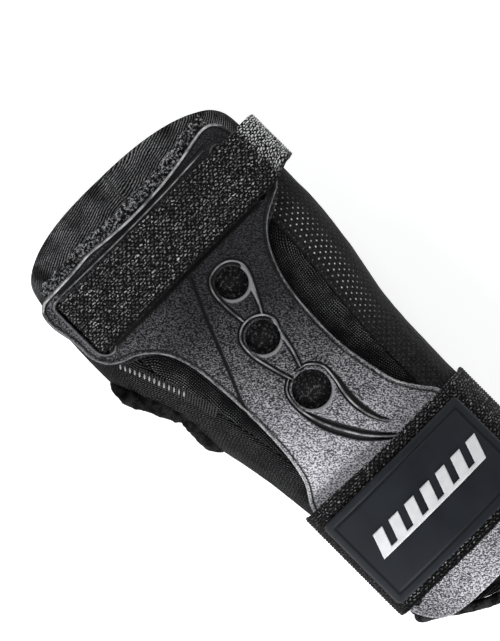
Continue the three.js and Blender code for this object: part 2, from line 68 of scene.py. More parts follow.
SLEEVE_THICKNESS = 2.2
BAND_WIDTH = 15.0
BAND_THICKNESS = 2.8
PAD_THICKNESS = 3.8
SPLINT_THICKNESS = 2.6
PALM_SPLINT_THICKNESS = 3.0
WEBBING_THICKNESS = 1.5
GAP = 0.4

# Inside of the sleeve: y, centre x, half width, top z, bottom z, squareness of the section.
BODY_STATIONS = np.array([
    [-106, 2.5, 34.0, 63.0, 19.0, 2.2],
    [-60, 3.5, 33.8, 60.5, 16.5, 2.2],
    [-30, 2.5, 35.0, 58.5, 13.0, 2.3],
    [0, 0.8, 38.0, 57.0, 12.0, 2.4],
    [20, -0.2, 42.5, 56.0, 12.0, 2.4],
    [40, -1.5, 46.5, 54.5, 12.0, 2.5],
    [60, -1.8, 47.2, 52.0, 14.0, 2.5],
    [80, -1.3, 46.3, 49.0, 17.5, 2.5],
    [107, 0.0, 43.0, 45.5, 22.0, 2.5],
])
SPLINT_ARCH = np.array([
    [-96, 0.0070], [-40, 0.0072], [0, 0.0070], [40, 0.0048], [65, 0.0036], [93, 0.0034],
])
SPLINT_CENTRE_X = -1.0
SPLINT_OUTLINE = [
    (-47.5, 87.3), (-36, 87.5), (-24, 88.4), (-10, 87), (5, 87), (20, 88.4), (33, 91), (38.5, 91),
    (42.3, 87.5), (43.8, 79), (43.9, 66), (42.8, 59.2), (38, 55.8), (31, 52), (25.3, 46), (20.8, 37),
    (18.4, 27), (17.3, 13), (17.4, 2), (19.2, -10), (22, -21), (26.5, -28.5), (30.5, -34), (32.3, -42),
    (32.6, -60), (32.3, -79), (30, -87.5), (24, -93.4), (17, -94.8), (-19, -94.8), (-25.8, -92.6),
    (-31, -86.5), (-33.6, -78), (-34, -60), (-33.8, -41), (-31.6, -32), (-27, -24), (-24.6, -12),
    (-24, 3), (-24.8, 20), (-26.6, 34), (-30.5, 43.5), (-37.5, 50), (-46, 54), (-49.6, 60),
    (-50.4, 70), (-51.9, 79), (-50.9, 84.8),
]
VENT_HOLES = [(5.0, 44.4, 6.0), (-0.8, 23.0, 6.2), (-1.6, -2.3, 7.1)]
SLOT_WIDTH = 3.6
SKID = {"y_low": -20, "y_high": 40, "half_width": 14, "proximal_slope": 0.22, "distal_slope": 0.25,
        "curl": 0.02}
PALM_SPLINT_HALF_OUTLINE = [
    (0, 57), (14, 54.5), (22, 46), (24.5, 32), (23, 10), (20, -10), (19.5, -28), (21.5, -45), (20, -60),
    (13, -68.5), (0, -70.5),
]
HAND_STRAP = {"y_low": 58.6, "y_high": 82.6, "slot_x": -44.5, "ulnar_slot_x": 34.5, "hinge_x": 45.2,
              "tip_x": 22, "reach_x": 52.4}
FOREARM_STRAP = {"y_low": -83.5, "y_high": -36.8, "hinge_x": 34.8, "tip_start_x": -31.0, "sewn_x": -16.0}
LOOP_BAND = {"y_low": -82.0, "y_high": -38.5, "radial_x": -28.0, "ulnar_x": 26.0}

# Heights above the dorsal splint, at the middle of each layer.
LOOP_THICKNESS = 1.3
HOOK_THICKNESS = 1.2
LABEL_THICKNESS = 1.8
WEB_ON_SPLINT = GAP + WEBBING_THICKNESS / 2
FLAP_ON_SPLINT = 3 * GAP + LOOP_THICKNESS + HOOK_THICKNESS + WEBBING_THICKNESS / 2
LABEL_UNDERSIDE = FLAP_ON_SPLINT + WEBBING_THICKNESS / 2 + 0.15

# ---------------------------------------------------------------- the surfaces that pieces follow


def station(table, column, y):
    """Smooth value of one column of a station table at y (an array)."""
    ys = table[:, 0]
    values = table[:, column]
    last = len(ys) - 1
    slopes = np.empty(len(ys))
    for k in range(len(ys)):
        before, after = max(k - 1, 0), min(k + 1, last)
        slopes[k] = (values[after] - values[before]) / (ys[after] - ys[before])
    y = np.clip(y, ys[0], ys[-1])
    i = np.clip(np.searchsorted(ys, y, side="left") - 1, 0, last - 1)
    span = ys[i + 1] - ys[i]
    t = (y - ys[i]) / span
    rise = t * t * (3 - 2 * t)
    leave = t * (1 - t) ** 2 * span * slopes[i]
    arrive = t * t * (t - 1) * span * slopes[i + 1]
    return values[i] + rise * (values[i + 1] - values[i]) + leave + arrive


def body_section(y):
    centre_x, half_width, top, bottom, squareness = (station(BODY_STATIONS, c, y) for c in range(1, 6))
    return centre_x, half_width, (top + bottom) / 2, (top - bottom) / 2, squareness


def body_point(angle, y, distance):
    """A point of the sleeve's inside, moved outwards. Angle 0 is the top, positive to the ulnar side."""
    centre_x, half_width, centre_z, half_height, squareness = body_section(y)
    power = 2 / squareness
    across = np.sign(np.sin(angle)) * np.abs(np.sin(angle)) ** power
    up = np.sign(np.cos(angle)) * np.abs(np.cos(angle)) ** power
    x = centre_x + (half_width + distance) * across
    z = centre_z + (half_height + distance) * up
    return np.stack([x, y + 0 * x, z], axis=-1)


def body_height(x, y, distance, side):
    centre_x, half_width, centre_z, half_height, squareness = body_section(y)
    ratio = np.minimum(np.abs(x - centre_x) / (half_width + distance), 0.999)
    return centre_z + side * (half_height + distance) * (1 - ratio ** squareness) ** (1 / squareness)


def splint_inner(x, y):
    crown = station(BODY_STATIONS, 3, y) + SLEEVE_THICKNESS + PAD_THICKNESS
    return crown - station(SPLINT_ARCH, 1, y) * (x - SPLINT_CENTRE_X) ** 2


def splint_outer(x, y):
    return splint_inner(x, y) + SPLINT_THICKNESS


def palm_splint_outer(x, y):
    """The palm splint's lower face: a flat skid that ramps up at both ends and curls up at both sides."""
    def ramp(d, slope):
        return np.where(d > 0, slope * (np.hypot(d, 4) - 4), 0)

    curl = SKID["curl"] * np.maximum(0, np.abs(x) - SKID["half_width"]) ** 2
    rise = ramp(SKID["y_low"] - y, SKID["proximal_slope"]) + ramp(y - SKID["y_high"], SKID["distal_slope"])
    return rise + curl


def finger_edge_y(angle):
    up = np.cos(angle)
    return 92.0 + up * np.where(up > 0, 12.5, 4.0) - 1.8 * np.sin(angle)


def cuff_edge_y(angle):
    from_top = np.arctan2(np.sin(angle), np.cos(angle))
    return -88.0 - 15.0 * np.exp(-((from_top / 0.75) ** 2))


# ---------------------------------------------------------------- small helpers


def smoothstep(low, high, value):
    t = np.clip((value - low) / (high - low), 0, 1)
    return t * t * (3 - 2 * t)


def bump_profile(distance, width):
    return np.exp(-((distance / width) ** 2))


def edge_rounding(depth, width):
    """How far a round edge of the given width has fallen away: 1 at the edge, 0 from width inwards."""
    return 1.0 - np.sqrt(np.clip(1 - (1 - np.clip(depth / width, 0, 1)) ** 2, 0, 1))


def spline(points, samples, closed=False):
    """Centripetal Catmull-Rom curve through points, as an array of samples per span."""
    pts = np.asarray(points, float)
    count = len(pts)
    spans = count if closed else count - 1
    out = []
    for i in range(spans):
        if closed:
            p = [pts[(i + k - 1) % count] for k in range(4)]
        else:
            p = [pts[max(i - 1, 0)], pts[i], pts[i + 1], pts[min(i + 2, count - 1)]]
            if i == 0:
                p[0] = 2 * p[1] - p[2]
            if i == spans - 1:
                p[3] = 2 * p[2] - p[1]
        steps = [max(np.linalg.norm(p[k + 1] - p[k]), 1e-6) ** 0.5 for k in range(3)]
        t0, t1 = 0.0, steps[0]
        t2 = t1 + steps[1]
        t3 = t2 + steps[2]
        t = np.linspace(t1, t2, samples, endpoint=False)[:, None]
        a1 = (t1 - t) / (t1 - t0) * p[0] + (t - t0) / (t1 - t0) * p[1]
        a2 = (t2 - t) / (t2 - t1) * p[1] + (t - t1) / (t2 - t1) * p[2]
        a3 = (t3 - t) / (t3 - t2) * p[2] + (t - t2) / (t3 - t2) * p[3]
        b1 = (t2 - t) / (t2 - t0) * a1 + (t - t0) / (t2 - t0) * a2
        b2 = (t3 - t) / (t3 - t1) * a2 + (t - t1) / (t3 - t1) * a3
        out.append((t2 - t) / (t2 - t1) * b1 + (t - t1) / (t2 - t1) * b2)
    if not closed:
        out.append(pts[-1:])
    return np.concatenate(out)


def segment_distance(x, y, line, closed=False):
    """Distance from points to a polyline, and how far along the polyline (0 to 1) the nearest point is."""
    ends = np.roll(line, -1, axis=0) if closed else line[1:]
    starts = line if closed else line[:-1]
    best = np.full(x.shape, 1e9)
    place = np.zeros(x.shape)
    for k in range(len(starts)):
        ax, ay = starts[k]
        dx, dy = ends[k] - starts[k]
        t = np.clip(((x - ax) * dx + (y - ay) * dy) / (dx * dx + dy * dy + 1e-12), 0, 1)
        d = np.hypot(x - ax - t * dx, y - ay - t * dy)
        nearer = d < best
        best = np.where(nearer, d, best)
        place = np.where(nearer, (k + t) / len(starts), place)
    return best, place


def inside_polygon(x, y, line):
    inside = np.zeros(x.shape, bool)
    for (ax, ay), (bx, by) in zip(line, np.roll(line, -1, axis=0)):
        if ay == by:
            continue
        crosses = ((ay > y) != (by > y)) & (x < (bx - ax) * (y - ay) / (by - ay) + ax)
        inside ^= crosses
    return inside


def depth_in_outline(x, y, line):
    """Distance from the outline, positive inside it."""
    distance, _ = segment_distance(x, y, line, closed=True)
    return np.where(inside_polygon(x, y, line), distance, -distance)


def slot_distance(x, y, centre_x, y_low, y_high):
    """Distance from a round-ended slot along Y, positive outside it."""
    half = SLOT_WIDTH / 2
    nearest = np.clip(y, y_low + half, y_high - half)
    return np.hypot(x - centre_x, y - nearest) - half


def value_noise(x, y, cell, seed):
    """Smooth repeatable noise between -1 and 1 on cells of the given size."""
    table = np.random.default_rng(seed).uniform(-1, 1, (64, 64))
    gx, gy = x / cell, y / cell
    ix, iy = np.floor(gx).astype(int), np.floor(gy).astype(int)
    fx, fy = gx - ix, gy - iy
    fx, fy = fx * fx * (3 - 2 * fx), fy * fy * (3 - 2 * fy)
    low = table[ix % 64, iy % 64] * (1 - fx) + table[(ix + 1) % 64, iy % 64] * fx
    high = table[ix % 64, (iy + 1) % 64] * (1 - fx) + table[(ix + 1) % 64, (iy + 1) % 64] * fx
    return low * (1 - fy) + high * fy


# ---------------------------------------------------------------- mesh builders


def link_object(name, data):
    made = bpy.data.objects.new(name, data)
    bpy.context.scene.collection.objects.link(made)
    return made


def link_mesh(name, mesh, material):
    mesh.materials.append(material)
    return link_object(name, mesh)


def make_piece(name, points, quads, material, uv=None, relief=None):
    """A smooth mesh object from points in millimetres. uv is in millimetres too, and relief is 0 to 1."""
    quads = np.asarray(quads, dtype=np.int32)
    corners = quads.shape[1]
    mesh = bpy.data.meshes.new(name)
    mesh.vertices.add(len(points))
    mesh.vertices.foreach_set("co", (np.asarray(points) * MM).astype(np.float32).ravel())
    mesh.loops.add(quads.size)
    mesh.loops.foreach_set("vertex_index", quads.ravel())
    mesh.polygons.add(len(quads))
    mesh.polygons.foreach_set("loop_start", np.arange(len(quads), dtype=np.int32) * corners)
    mesh.polygons.foreach_set("use_smooth", np.full(len(quads), True))
    mesh.update(calc_edges=True)
    mesh.validate()
    if uv is not None:
        layer = mesh.uv_layers.new(name="UVMap")
        layer.data.foreach_set("uv", (np.asarray(uv) * MM)[quads.ravel()].astype(np.float32).ravel())
    if relief is not None:
        attribute = mesh.attributes.new("relief", "FLOAT", "POINT")
        attribute.data.foreach_set("value", np.asarray(relief, dtype=np.float32).ravel())
    return link_mesh(name, mesh, material)


def outward(points, quads):
    """The quads turned so that the closed mesh has a positive volume."""
    a, b, c, d = (points[quads[:, k]] for k in range(4))
    volume = np.einsum("ij,ij->i", a, np.cross(b, c)).sum() + np.einsum("ij,ij->i", a, np.cross(c, d)).sum()
    return quads if volume > 0 else quads[:, ::-1]


def thick_grid(name, outer, inner, material, uv=None, relief=None, closed=False):
    """A closed sheet between two grids of points, each of shape (columns, rows, 3)."""
    columns, rows = outer.shape[:2]
    points = np.concatenate([inner.reshape(-1, 3), outer.reshape(-1, 3)])
    index = np.arange(2 * columns * rows).reshape(2, columns, rows)
    if closed:
        index = np.concatenate([index, index[:, :1]], axis=1)

    def quad(a, b, c, d):
        return np.stack([a, b, c, d], axis=-1).reshape(-1, 4)

    low, high = index[0], index[1]
    quads = [
        quad(high[:-1, :-1], high[1:, :-1], high[1:, 1:], high[:-1, 1:]),
        quad(low[:-1, :-1], low[:-1, 1:], low[1:, 1:], low[1:, :-1]),
        quad(low[:-1, 0], low[1:, 0], high[1:, 0], high[:-1, 0]),
        quad(low[:-1, -1], high[:-1, -1], high[1:, -1], low[1:, -1]),
    ]
    if not closed:
        quads.append(quad(low[0, :-1], high[0, :-1], high[0, 1:], low[0, 1:]))
        quads.append(quad(low[-1, :-1], low[-1, 1:], high[-1, 1:], high[-1, :-1]))
    quads = outward(points, np.concatenate(quads))
    both_uv = None if uv is None else np.concatenate([uv.reshape(-1, 2)] * 2)
    both_relief = None if relief is None else np.concatenate([relief.ravel() * 0, relief.ravel()])
    return make_piece(name, points, quads, material, both_uv, both_relief)


def even(low, high, step):
    return np.linspace(low, high, max(int(round((high - low) / step)), 1) + 1)


def finer_between(low, high, fine_low, fine_high, coarse, fine):
    """Grid lines from low to high that lie closer together between fine_low and fine_high."""
    middle = even(fine_low, fine_high, fine)
    return np.concatenate([even(low, fine_low, coarse), middle[1:], even(fine_high, high, coarse)[1:]])


def cut_sheet(name, depth, xs, ys, faces, material):
    """A sheet over the grid lines xs and ys, with its edge where depth(x, y) is zero.
    faces(x, y, depth) gives lower z, upper z and relief."""
    columns, rows = len(xs), len(ys)
    x, y = np.meshgrid(xs, ys, indexing="ij")
    middle = depth((x[:-1, :-1] + x[1:, 1:]) / 2, (y[:-1, :-1] + y[1:, 1:]) / 2)
    kept = middle > 0
    index = np.arange(columns * rows).reshape(columns, rows)
    quads = np.stack([index[:-1, :-1], index[1:, :-1], index[1:, 1:], index[:-1, 1:]], axis=-1)[kept]
    # The corners along the rim move onto the line where depth is zero.
    sides = np.concatenate([quads[:, [k, (k + 1) % 4]] for k in range(4)])
    keys = np.sort(sides, axis=1)
    _, first, counts = np.unique(keys, axis=0, return_index=True, return_counts=True)
    rim = sides[first[counts == 1]]
    on_rim = np.unique(rim)
    flat = np.stack([x.ravel(), y.ravel()], axis=1)
    for _ in range(3):
        px, py = flat[on_rim, 0], flat[on_rim, 1]
        here = depth(px, py)
        slope_x = (depth(px + 0.05, py) - depth(px - 0.05, py)) / 0.1
        slope_y = (depth(px, py + 0.05) - depth(px, py - 0.05)) / 0.1
        size = np.maximum(slope_x ** 2 + slope_y ** 2, 0.25)
        flat[on_rim, 0] -= here * slope_x / size
        flat[on_rim, 1] -= here * slope_y / size
    used = np.unique(quads)
    new = np.full(columns * rows, -1)
    new[used] = np.arange(len(used))
    px, py = flat[used, 0], flat[used, 1]
    lower, upper, relief = faces(px, py, np.maximum(depth(px, py), 0))
    count = len(used)
    points = np.concatenate([np.stack([px, py, lower], 1), np.stack([px, py, upper], 1)])
    top = new[quads] + count
    bottom = new[quads][:, ::-1]
    wall = new[rim]
    walls = np.stack([wall[:, 0], wall[:, 1], wall[:, 1] + count, wall[:, 0] + count], axis=1)
    uv = np.concatenate([np.stack([px, py], 1)] * 2)
    both_relief = np.concatenate([relief * 0, relief])
    return make_piece(name, points, np.concatenate([top, bottom, walls]), material, uv, both_relief)


def resample(line, count):
    """The polyline's points at equal spacing along it, with the length of the line."""
    gaps = np.linalg.norm(np.diff(line, axis=0), axis=1)
    along = np.concatenate([[0], np.cumsum(gaps)])
    places = np.linspace(0, along[-1], count)
    return np.stack([np.interp(places, along, line[:, k]) for k in range(line.shape[1])], axis=1), along[-1]


# The straps' weave: the size of a stitch, the step of the mesh grid and the depth of the relief.
STITCH_LENGTH = 2.0
STITCH_WIDTH = 1.0
WEBBING_STEP = 0.26
WEAVE_DEPTH = 0.42


def weave(along, across):
    """Height, 0 to 1, of coarse webbing: rows of long stitches, each row half a stitch on from the last."""
    row = np.floor(across / STITCH_WIDTH)
    place = across / STITCH_WIDTH - row
    phase = 0.5 * (row % 2)
    stitch = 0.5 + 0.5 * np.cos(2 * np.pi * (along / STITCH_LENGTH + phase))
    return np.sin(np.pi * place) ** 0.7 * (0.25 + 0.75 * stitch ** 0.8)


def webbing(name, path_at, y_low, y_high, material, edge_shifts, wave, face=1, start=0.0):
    """Woven tape that runs across the guard. path_at(y) gives its middle line as (x, z) points.
    face is 1 where the line runs with its outer side on its left, and -1 where it runs the other way.
    start shifts the weave, so that two lengths of one strap match. wave lifts its edges a little, unevenly.
    edge_shifts(x, z) moves the two edges along Y, and the cloth between them stretches to follow."""
    ys = np.linspace(y_low, y_high, int((y_high - y_low) / WEBBING_STEP) + 1)
    _, length = resample(spline(path_at((y_low + y_high) / 2), 8), 10)
    count = int(length / WEBBING_STEP) + 1
    # The path changes slowly along y, so it is worked out at every eighth row and joined smoothly.
    rows = np.stack([resample(spline(path_at(y), 8), count)[0] for y in ys[::8]])
    x = np.stack([np.interp(ys, ys[::8], rows[:, k, 0]) for k in range(count)])
    z = np.stack([np.interp(ys, ys[::8], rows[:, k, 1]) for k in range(count)])
    tangent_x, tangent_z = np.gradient(x, axis=0), np.gradient(z, axis=0)
    size = np.hypot(tangent_x, tangent_z)
    normal_x, normal_z = -face * tangent_z / size, face * tangent_x / size
    along = start + np.linspace(0, length, count)[:, None] + 0 * x
    across = (ys - y_low)[None, :] + 0 * x
    edge = np.minimum(across, (y_high - y_low) - across)
    selvedge = 1 - edge_rounding(edge, 1.1)
    height = weave(along, across)
    under = weave(along + 1.3, across)
    lift = wave * value_noise(along, across, 9.0, 5) * (1 - smoothstep(0, 7, edge))
    half = WEBBING_THICKNESS / 2 * (0.35 + 0.65 * selvedge)
    top = half + WEAVE_DEPTH * (height - 0.5) * (0.4 + 0.6 * selvedge) + lift
    bottom = -half - 0.5 * WEAVE_DEPTH * (under - 0.5) + 0.5 * lift
    which_edge = np.sign(across - (y_high - y_low) / 2)
    wander = 0.12 * value_noise(along, which_edge * 9, 2.2, 11)
    y = ys[None, :] + wander * (1 - smoothstep(0, 1.5, edge))
    low_shift, high_shift = edge_shifts(x, z)
    part = (ys[None, :] - y_low) / (y_high - y_low)
    y = y + low_shift * (1 - part) + high_shift * part
    outer = np.stack([x + normal_x * top, y, z + normal_z * top], axis=-1)
    inner = np.stack([x + normal_x * bottom, y, z + normal_z * bottom], axis=-1)
    uv = np.stack([along, across], axis=-1)
    return thick_grid(name, outer, inner, material, uv, height)


def ring_quads(near, far):
    """Quads between rings of corner numbers, from each ring in near to the one in far."""
    quads = np.stack([near, far, np.roll(far, -1, axis=1), np.roll(near, -1, axis=1)], axis=-1)
    return quads.reshape(-1, 4)


def loop_tube(name, line, radius_at, sides, reference, material):
    """A tube along a closed line of points. radius_at(place, turn) gives its radius, place in mm along it."""
    count = len(line)
    ahead = np.roll(line, -1, axis=0) - np.roll(line, 1, axis=0)
    along = ahead / np.linalg.norm(ahead, axis=1, keepdims=True)
    first = reference - along * (along @ np.asarray(reference, float))[:, None]
    first /= np.linalg.norm(first, axis=1, keepdims=True)
    second = np.cross(along, first)
    place = np.concatenate([[0], np.cumsum(np.linalg.norm(np.diff(line, axis=0), axis=1))])
    turn = np.linspace(0, 2 * np.pi, sides, endpoint=False)
    radius = radius_at(place[:, None], turn[None, :])
    points = (line[:, None] + radius[..., None] * (
        np.cos(turn)[None, :, None] * first[:, None] + np.sin(turn)[None, :, None] * second[:, None]))
    index = np.arange(count * sides).reshape(count, sides)
    quads = ring_quads(index, np.roll(index, -1, axis=0))
    flat = points.reshape(-1, 3)
    uv = np.stack(np.broadcast_arrays(place[:, None], turn[None, :] * radius.mean()), axis=-1).reshape(-1, 2)
    return make_piece(name, flat, outward(flat, quads), material, uv)


def stitches(name, places, directions, normals, length, radius, material):
    """A row of short raised threads: a rounded capsule at each place, lying along its direction."""
    rings, sides, sink = 5, 6, 0.15
    t = np.linspace(0, np.pi, rings + 2)[1:-1]
    turn = np.linspace(0, 2 * np.pi, sides, endpoint=False)
    body = [(0.0, 0.0, -0.5)]
    for angle in t:
        out, along = math.sin(angle), -0.5 * math.cos(angle)
        body += [(out * math.cos(a), out * math.sin(a), along) for a in turn]
    body.append((0.0, 0.0, 0.5))
    body = np.array(body)
    body[:, :2] *= radius
    body[:, 2] *= length
    quads = []
    for k in range(sides):
        following = (k + 1) % sides
        quads.append((0, 1 + following, 1 + k, 1 + k))
        for ring in range(rings - 1):
            near, far = 1 + ring * sides, 1 + (ring + 1) * sides
            quads.append((near + k, near + following, far + following, far + k))
        end = 1 + (rings - 1) * sides
        quads.append((end + k, end + following, len(body) - 1, len(body) - 1))
    directions = directions / np.linalg.norm(directions, axis=1, keepdims=True)
    side = np.cross(normals, directions)
    side /= np.linalg.norm(side, axis=1, keepdims=True)
    up = np.cross(directions, side)
    points = (places[:, None] + body[None, :, 0:1] * side[:, None] + (body[None, :, 1:2] - sink) * up[:, None]
              + body[None, :, 2:3] * directions[:, None])
    mesh = bpy.data.meshes.new(name)
    faces = []
    for i in range(len(places)):
        for quad in quads:
            corners = [i * len(body) + c for c in quad]
            faces.append(corners if corners[2] != corners[3] else corners[:3])
    mesh.from_pydata((points.reshape(-1, 3) * MM).tolist(), [], faces)
    mesh.validate()
    mesh.polygons.foreach_set("use_smooth", [True] * len(mesh.polygons))
    return link_mesh(name, mesh, material)


def stitch_line(name, line, normal_at, spacing, length, radius, material, lean):
    """Stitches at equal spacing along a line of points, turned by lean radians from the line."""
    total = np.linalg.norm(np.diff(line, axis=0), axis=1).sum()
    places, _ = resample(line, max(int(total / spacing), 2))
    directions = np.gradient(places, axis=0)
    normals = np.array([normal_at(p) for p in places], float)
    side = np.cross(normals, directions)
    directions = math.cos(lean) * directions + math.sin(lean) * side
    return stitches(name, places, directions, normals, length, radius, material)


# ---------------------------------------------------------------- materials


class Nodes:
    """A material's node tree, with short ways to add and join nodes."""

    def __init__(self, name, color, roughness, specular=0.5):
        self.material = bpy.data.materials.new(name)
        self.material.use_nodes = True
        self.tree = self.material.node_tree
        self.shader = self.tree.nodes["Principled BSDF"]
        self.shader.inputs["Base Color"].default_value = (*color, 1)
        self.shader.inputs["Roughness"].default_value = roughness
        self.shader.inputs["Specular IOR Level"].default_value = specular

    def add(self, kind, inputs=None, **settings):
        node = self.tree.nodes.new(kind)
        for key, value in settings.items():
            setattr(node, key, value)
        for key, value in (inputs or {}).items():
            if isinstance(value, bpy.types.NodeSocket):
                self.tree.links.new(value, node.inputs[key])
            else:
                node.inputs[key].default_value = value
        return node

    def math(self, operation, a, b=0.0):
        return self.add("ShaderNodeMath", {0: a, 1: b}, operation=operation).outputs[0]

    def plus(self, a, b):
        return self.math("ADD", a, b)

    def minus(self, a, b):
        return self.math("SUBTRACT", a, b)

    def times(self, a, b):
        return self.math("MULTIPLY", a, b)

    def object_point(self):
        return self.add("ShaderNodeTexCoord").outputs["Object"]

    def uv(self):
        return self.add("ShaderNodeUVMap", uv_map="UVMap").outputs[0]

    def split(self, vector):
        return self.add("ShaderNodeSeparateXYZ", {0: vector}).outputs

    def noise(self, vector, size_mm, detail, roughness=0.5):
        return self.add("ShaderNodeTexNoise", {
            "Vector": vector, "Scale": 1000 / size_mm, "Detail": detail, "Roughness": roughness,
        }).outputs["Fac"]

    def remap(self, value, low, high, to_low=0.0, to_high=1.0):
        return self.add("ShaderNodeMapRange", {
            "Value": value, "From Min": low, "From Max": high, "To Min": to_low, "To Max": to_high,
        }).outputs[0]

    def mix(self, factor, a, b):
        node = self.add("ShaderNodeMix", data_type="RGBA")
        for key, value in ((0, factor), (6, a), (7, b)):
            if isinstance(value, bpy.types.NodeSocket):
                self.tree.links.new(value, node.inputs[key])
            else:
                node.inputs[key].default_value = value if key == 0 else (*value, 1)
        return node.outputs[2]

    def relief(self):
        return self.add("ShaderNodeAttribute", attribute_name="relief").outputs["Fac"]

    def color(self, socket):
        self.tree.links.new(socket, self.shader.inputs["Base Color"])

    def roughness(self, socket):
        self.tree.links.new(socket, self.shader.inputs["Roughness"])

    def bump(self, height, distance_mm, strength):
        node = self.add("ShaderNodeBump", {
            "Height": height, "Distance": distance_mm * MM, "Strength": strength})
        self.tree.links.new(node.outputs[0], self.shader.inputs["Normal"])


def splint_plastic():
    """Black moulded plastic with a worm-like grain, painted paler toward the forearm as a broad highlight.
    Its relief runs from 0 in a groove, painted dark as shade, through a half on the flat to 1 on a raised
    line, painted pale as a highlight."""
    m = Nodes("splint_plastic", (0.03, 0.03, 0.032), 0.42, 0.22)
    point = m.object_point()
    px, py = m.split(point)[0:2]
    # The grain's worms lie across the plate, slanting from the thumb side's fingers end to the other corner.
    slanted = m.add("ShaderNodeMapping", {
        "Vector": point, "Rotation": (0, 0, math.radians(-45)), "Scale": (1.6, 1, 1),
    }, vector_type="TEXTURE").outputs[0]
    grain = m.noise(slanted, 0.44, 1.0, 0.5)
    fine = m.noise(point, 0.35, 2.0, 0.6)
    blotch = m.noise(point, 11, 2.0)
    # Painted highlight: the plate is painted paler toward the forearm and the thumb side, in blotches, as a
    # broad reflection of the lamp.
    painted_sheen = m.plus(m.remap(py, 0.044, -0.038), m.times(m.minus(blotch, 0.5), 0.30))
    painted_sheen = m.plus(painted_sheen, m.times(px, -7.0))
    painted_sheen = m.remap(m.math("POWER", m.math("MAXIMUM", painted_sheen, 0.0), 1.5), 0.0, 1.0)
    # The end past the forearm strap has less of the painted highlight toward the thumb side: painted shade
    # beside the strap.
    strap_shade = m.times(m.remap(py, -0.078, -0.084), m.remap(px, -0.008, -0.034, 0.10, 0.60))
    painted_sheen = m.times(painted_sheen, m.minus(1.0, strap_shade))
    speckle = m.plus(m.times(grain, 0.7), m.times(fine, 0.3))
    mottle = m.remap(m.plus(speckle, m.times(painted_sheen, 0.050)), 0.475, 0.605)
    # The grain's pale specks are painted glints, and grow with the painted highlight.
    low = m.mix(m.math("POWER", painted_sheen, 2.0), (0.0005, 0.0004, 0.0009), (0.082, 0.080, 0.092))
    high = m.mix(painted_sheen, (0.036, 0.035, 0.043), (0.74, 0.73, 0.78))
    surface = m.mix(mottle, low, high)
    relief = m.relief()
    # Painted shade: grooves, trenches and creases are painted near black. Painted highlight: raised lines and
    # lips are painted pale.
    shaded_groove = m.remap(relief, 0.42, 0.15)
    ridge_highlight = m.remap(relief, 0.60, 0.95)
    surface = m.mix(shaded_groove, surface, (0.0007, 0.0007, 0.0009))
    m.color(m.mix(m.times(ridge_highlight, 0.85), surface, (0.25, 0.25, 0.26)))
    smooth = m.minus(1.0, m.times(m.plus(ridge_highlight, shaded_groove), 0.8))
    m.bump(m.times(m.plus(mottle, m.times(fine, 0.5)), smooth), 0.16, 1.0)
    m.roughness(m.remap(fine, 0.3, 0.7, 0.38, 0.58))
    return m.material


def bead_plastic():
    """The same plastic where it stands up in thin lines, painted pale and uneven as a highlight."""
    m = Nodes("highlit_bead", (0.12, 0.12, 0.125), 0.34, 0.7)
    point = m.object_point()
    py = m.split(point)[1]
    bead_highlight = m.remap(m.noise(point, 4.0, 3.0, 0.6), 0.38, 0.62, 0.15, 1.0)
    # Painted highlight, brightest toward the forearm and at the fingers' end.
    toward_ends = m.math("MAXIMUM", m.remap(py, 0.050, -0.030, 0.45, 0.95), m.remap(py, 0.070, 0.080))
    bead_highlight = m.times(bead_highlight, toward_ends)
    m.color(m.mix(bead_highlight, (0.010, 0.010, 0.012), (0.46, 0.46, 0.475)))
    m.bump(m.noise(point, 0.7, 2.0), 0.05, 0.6)
    return m.material


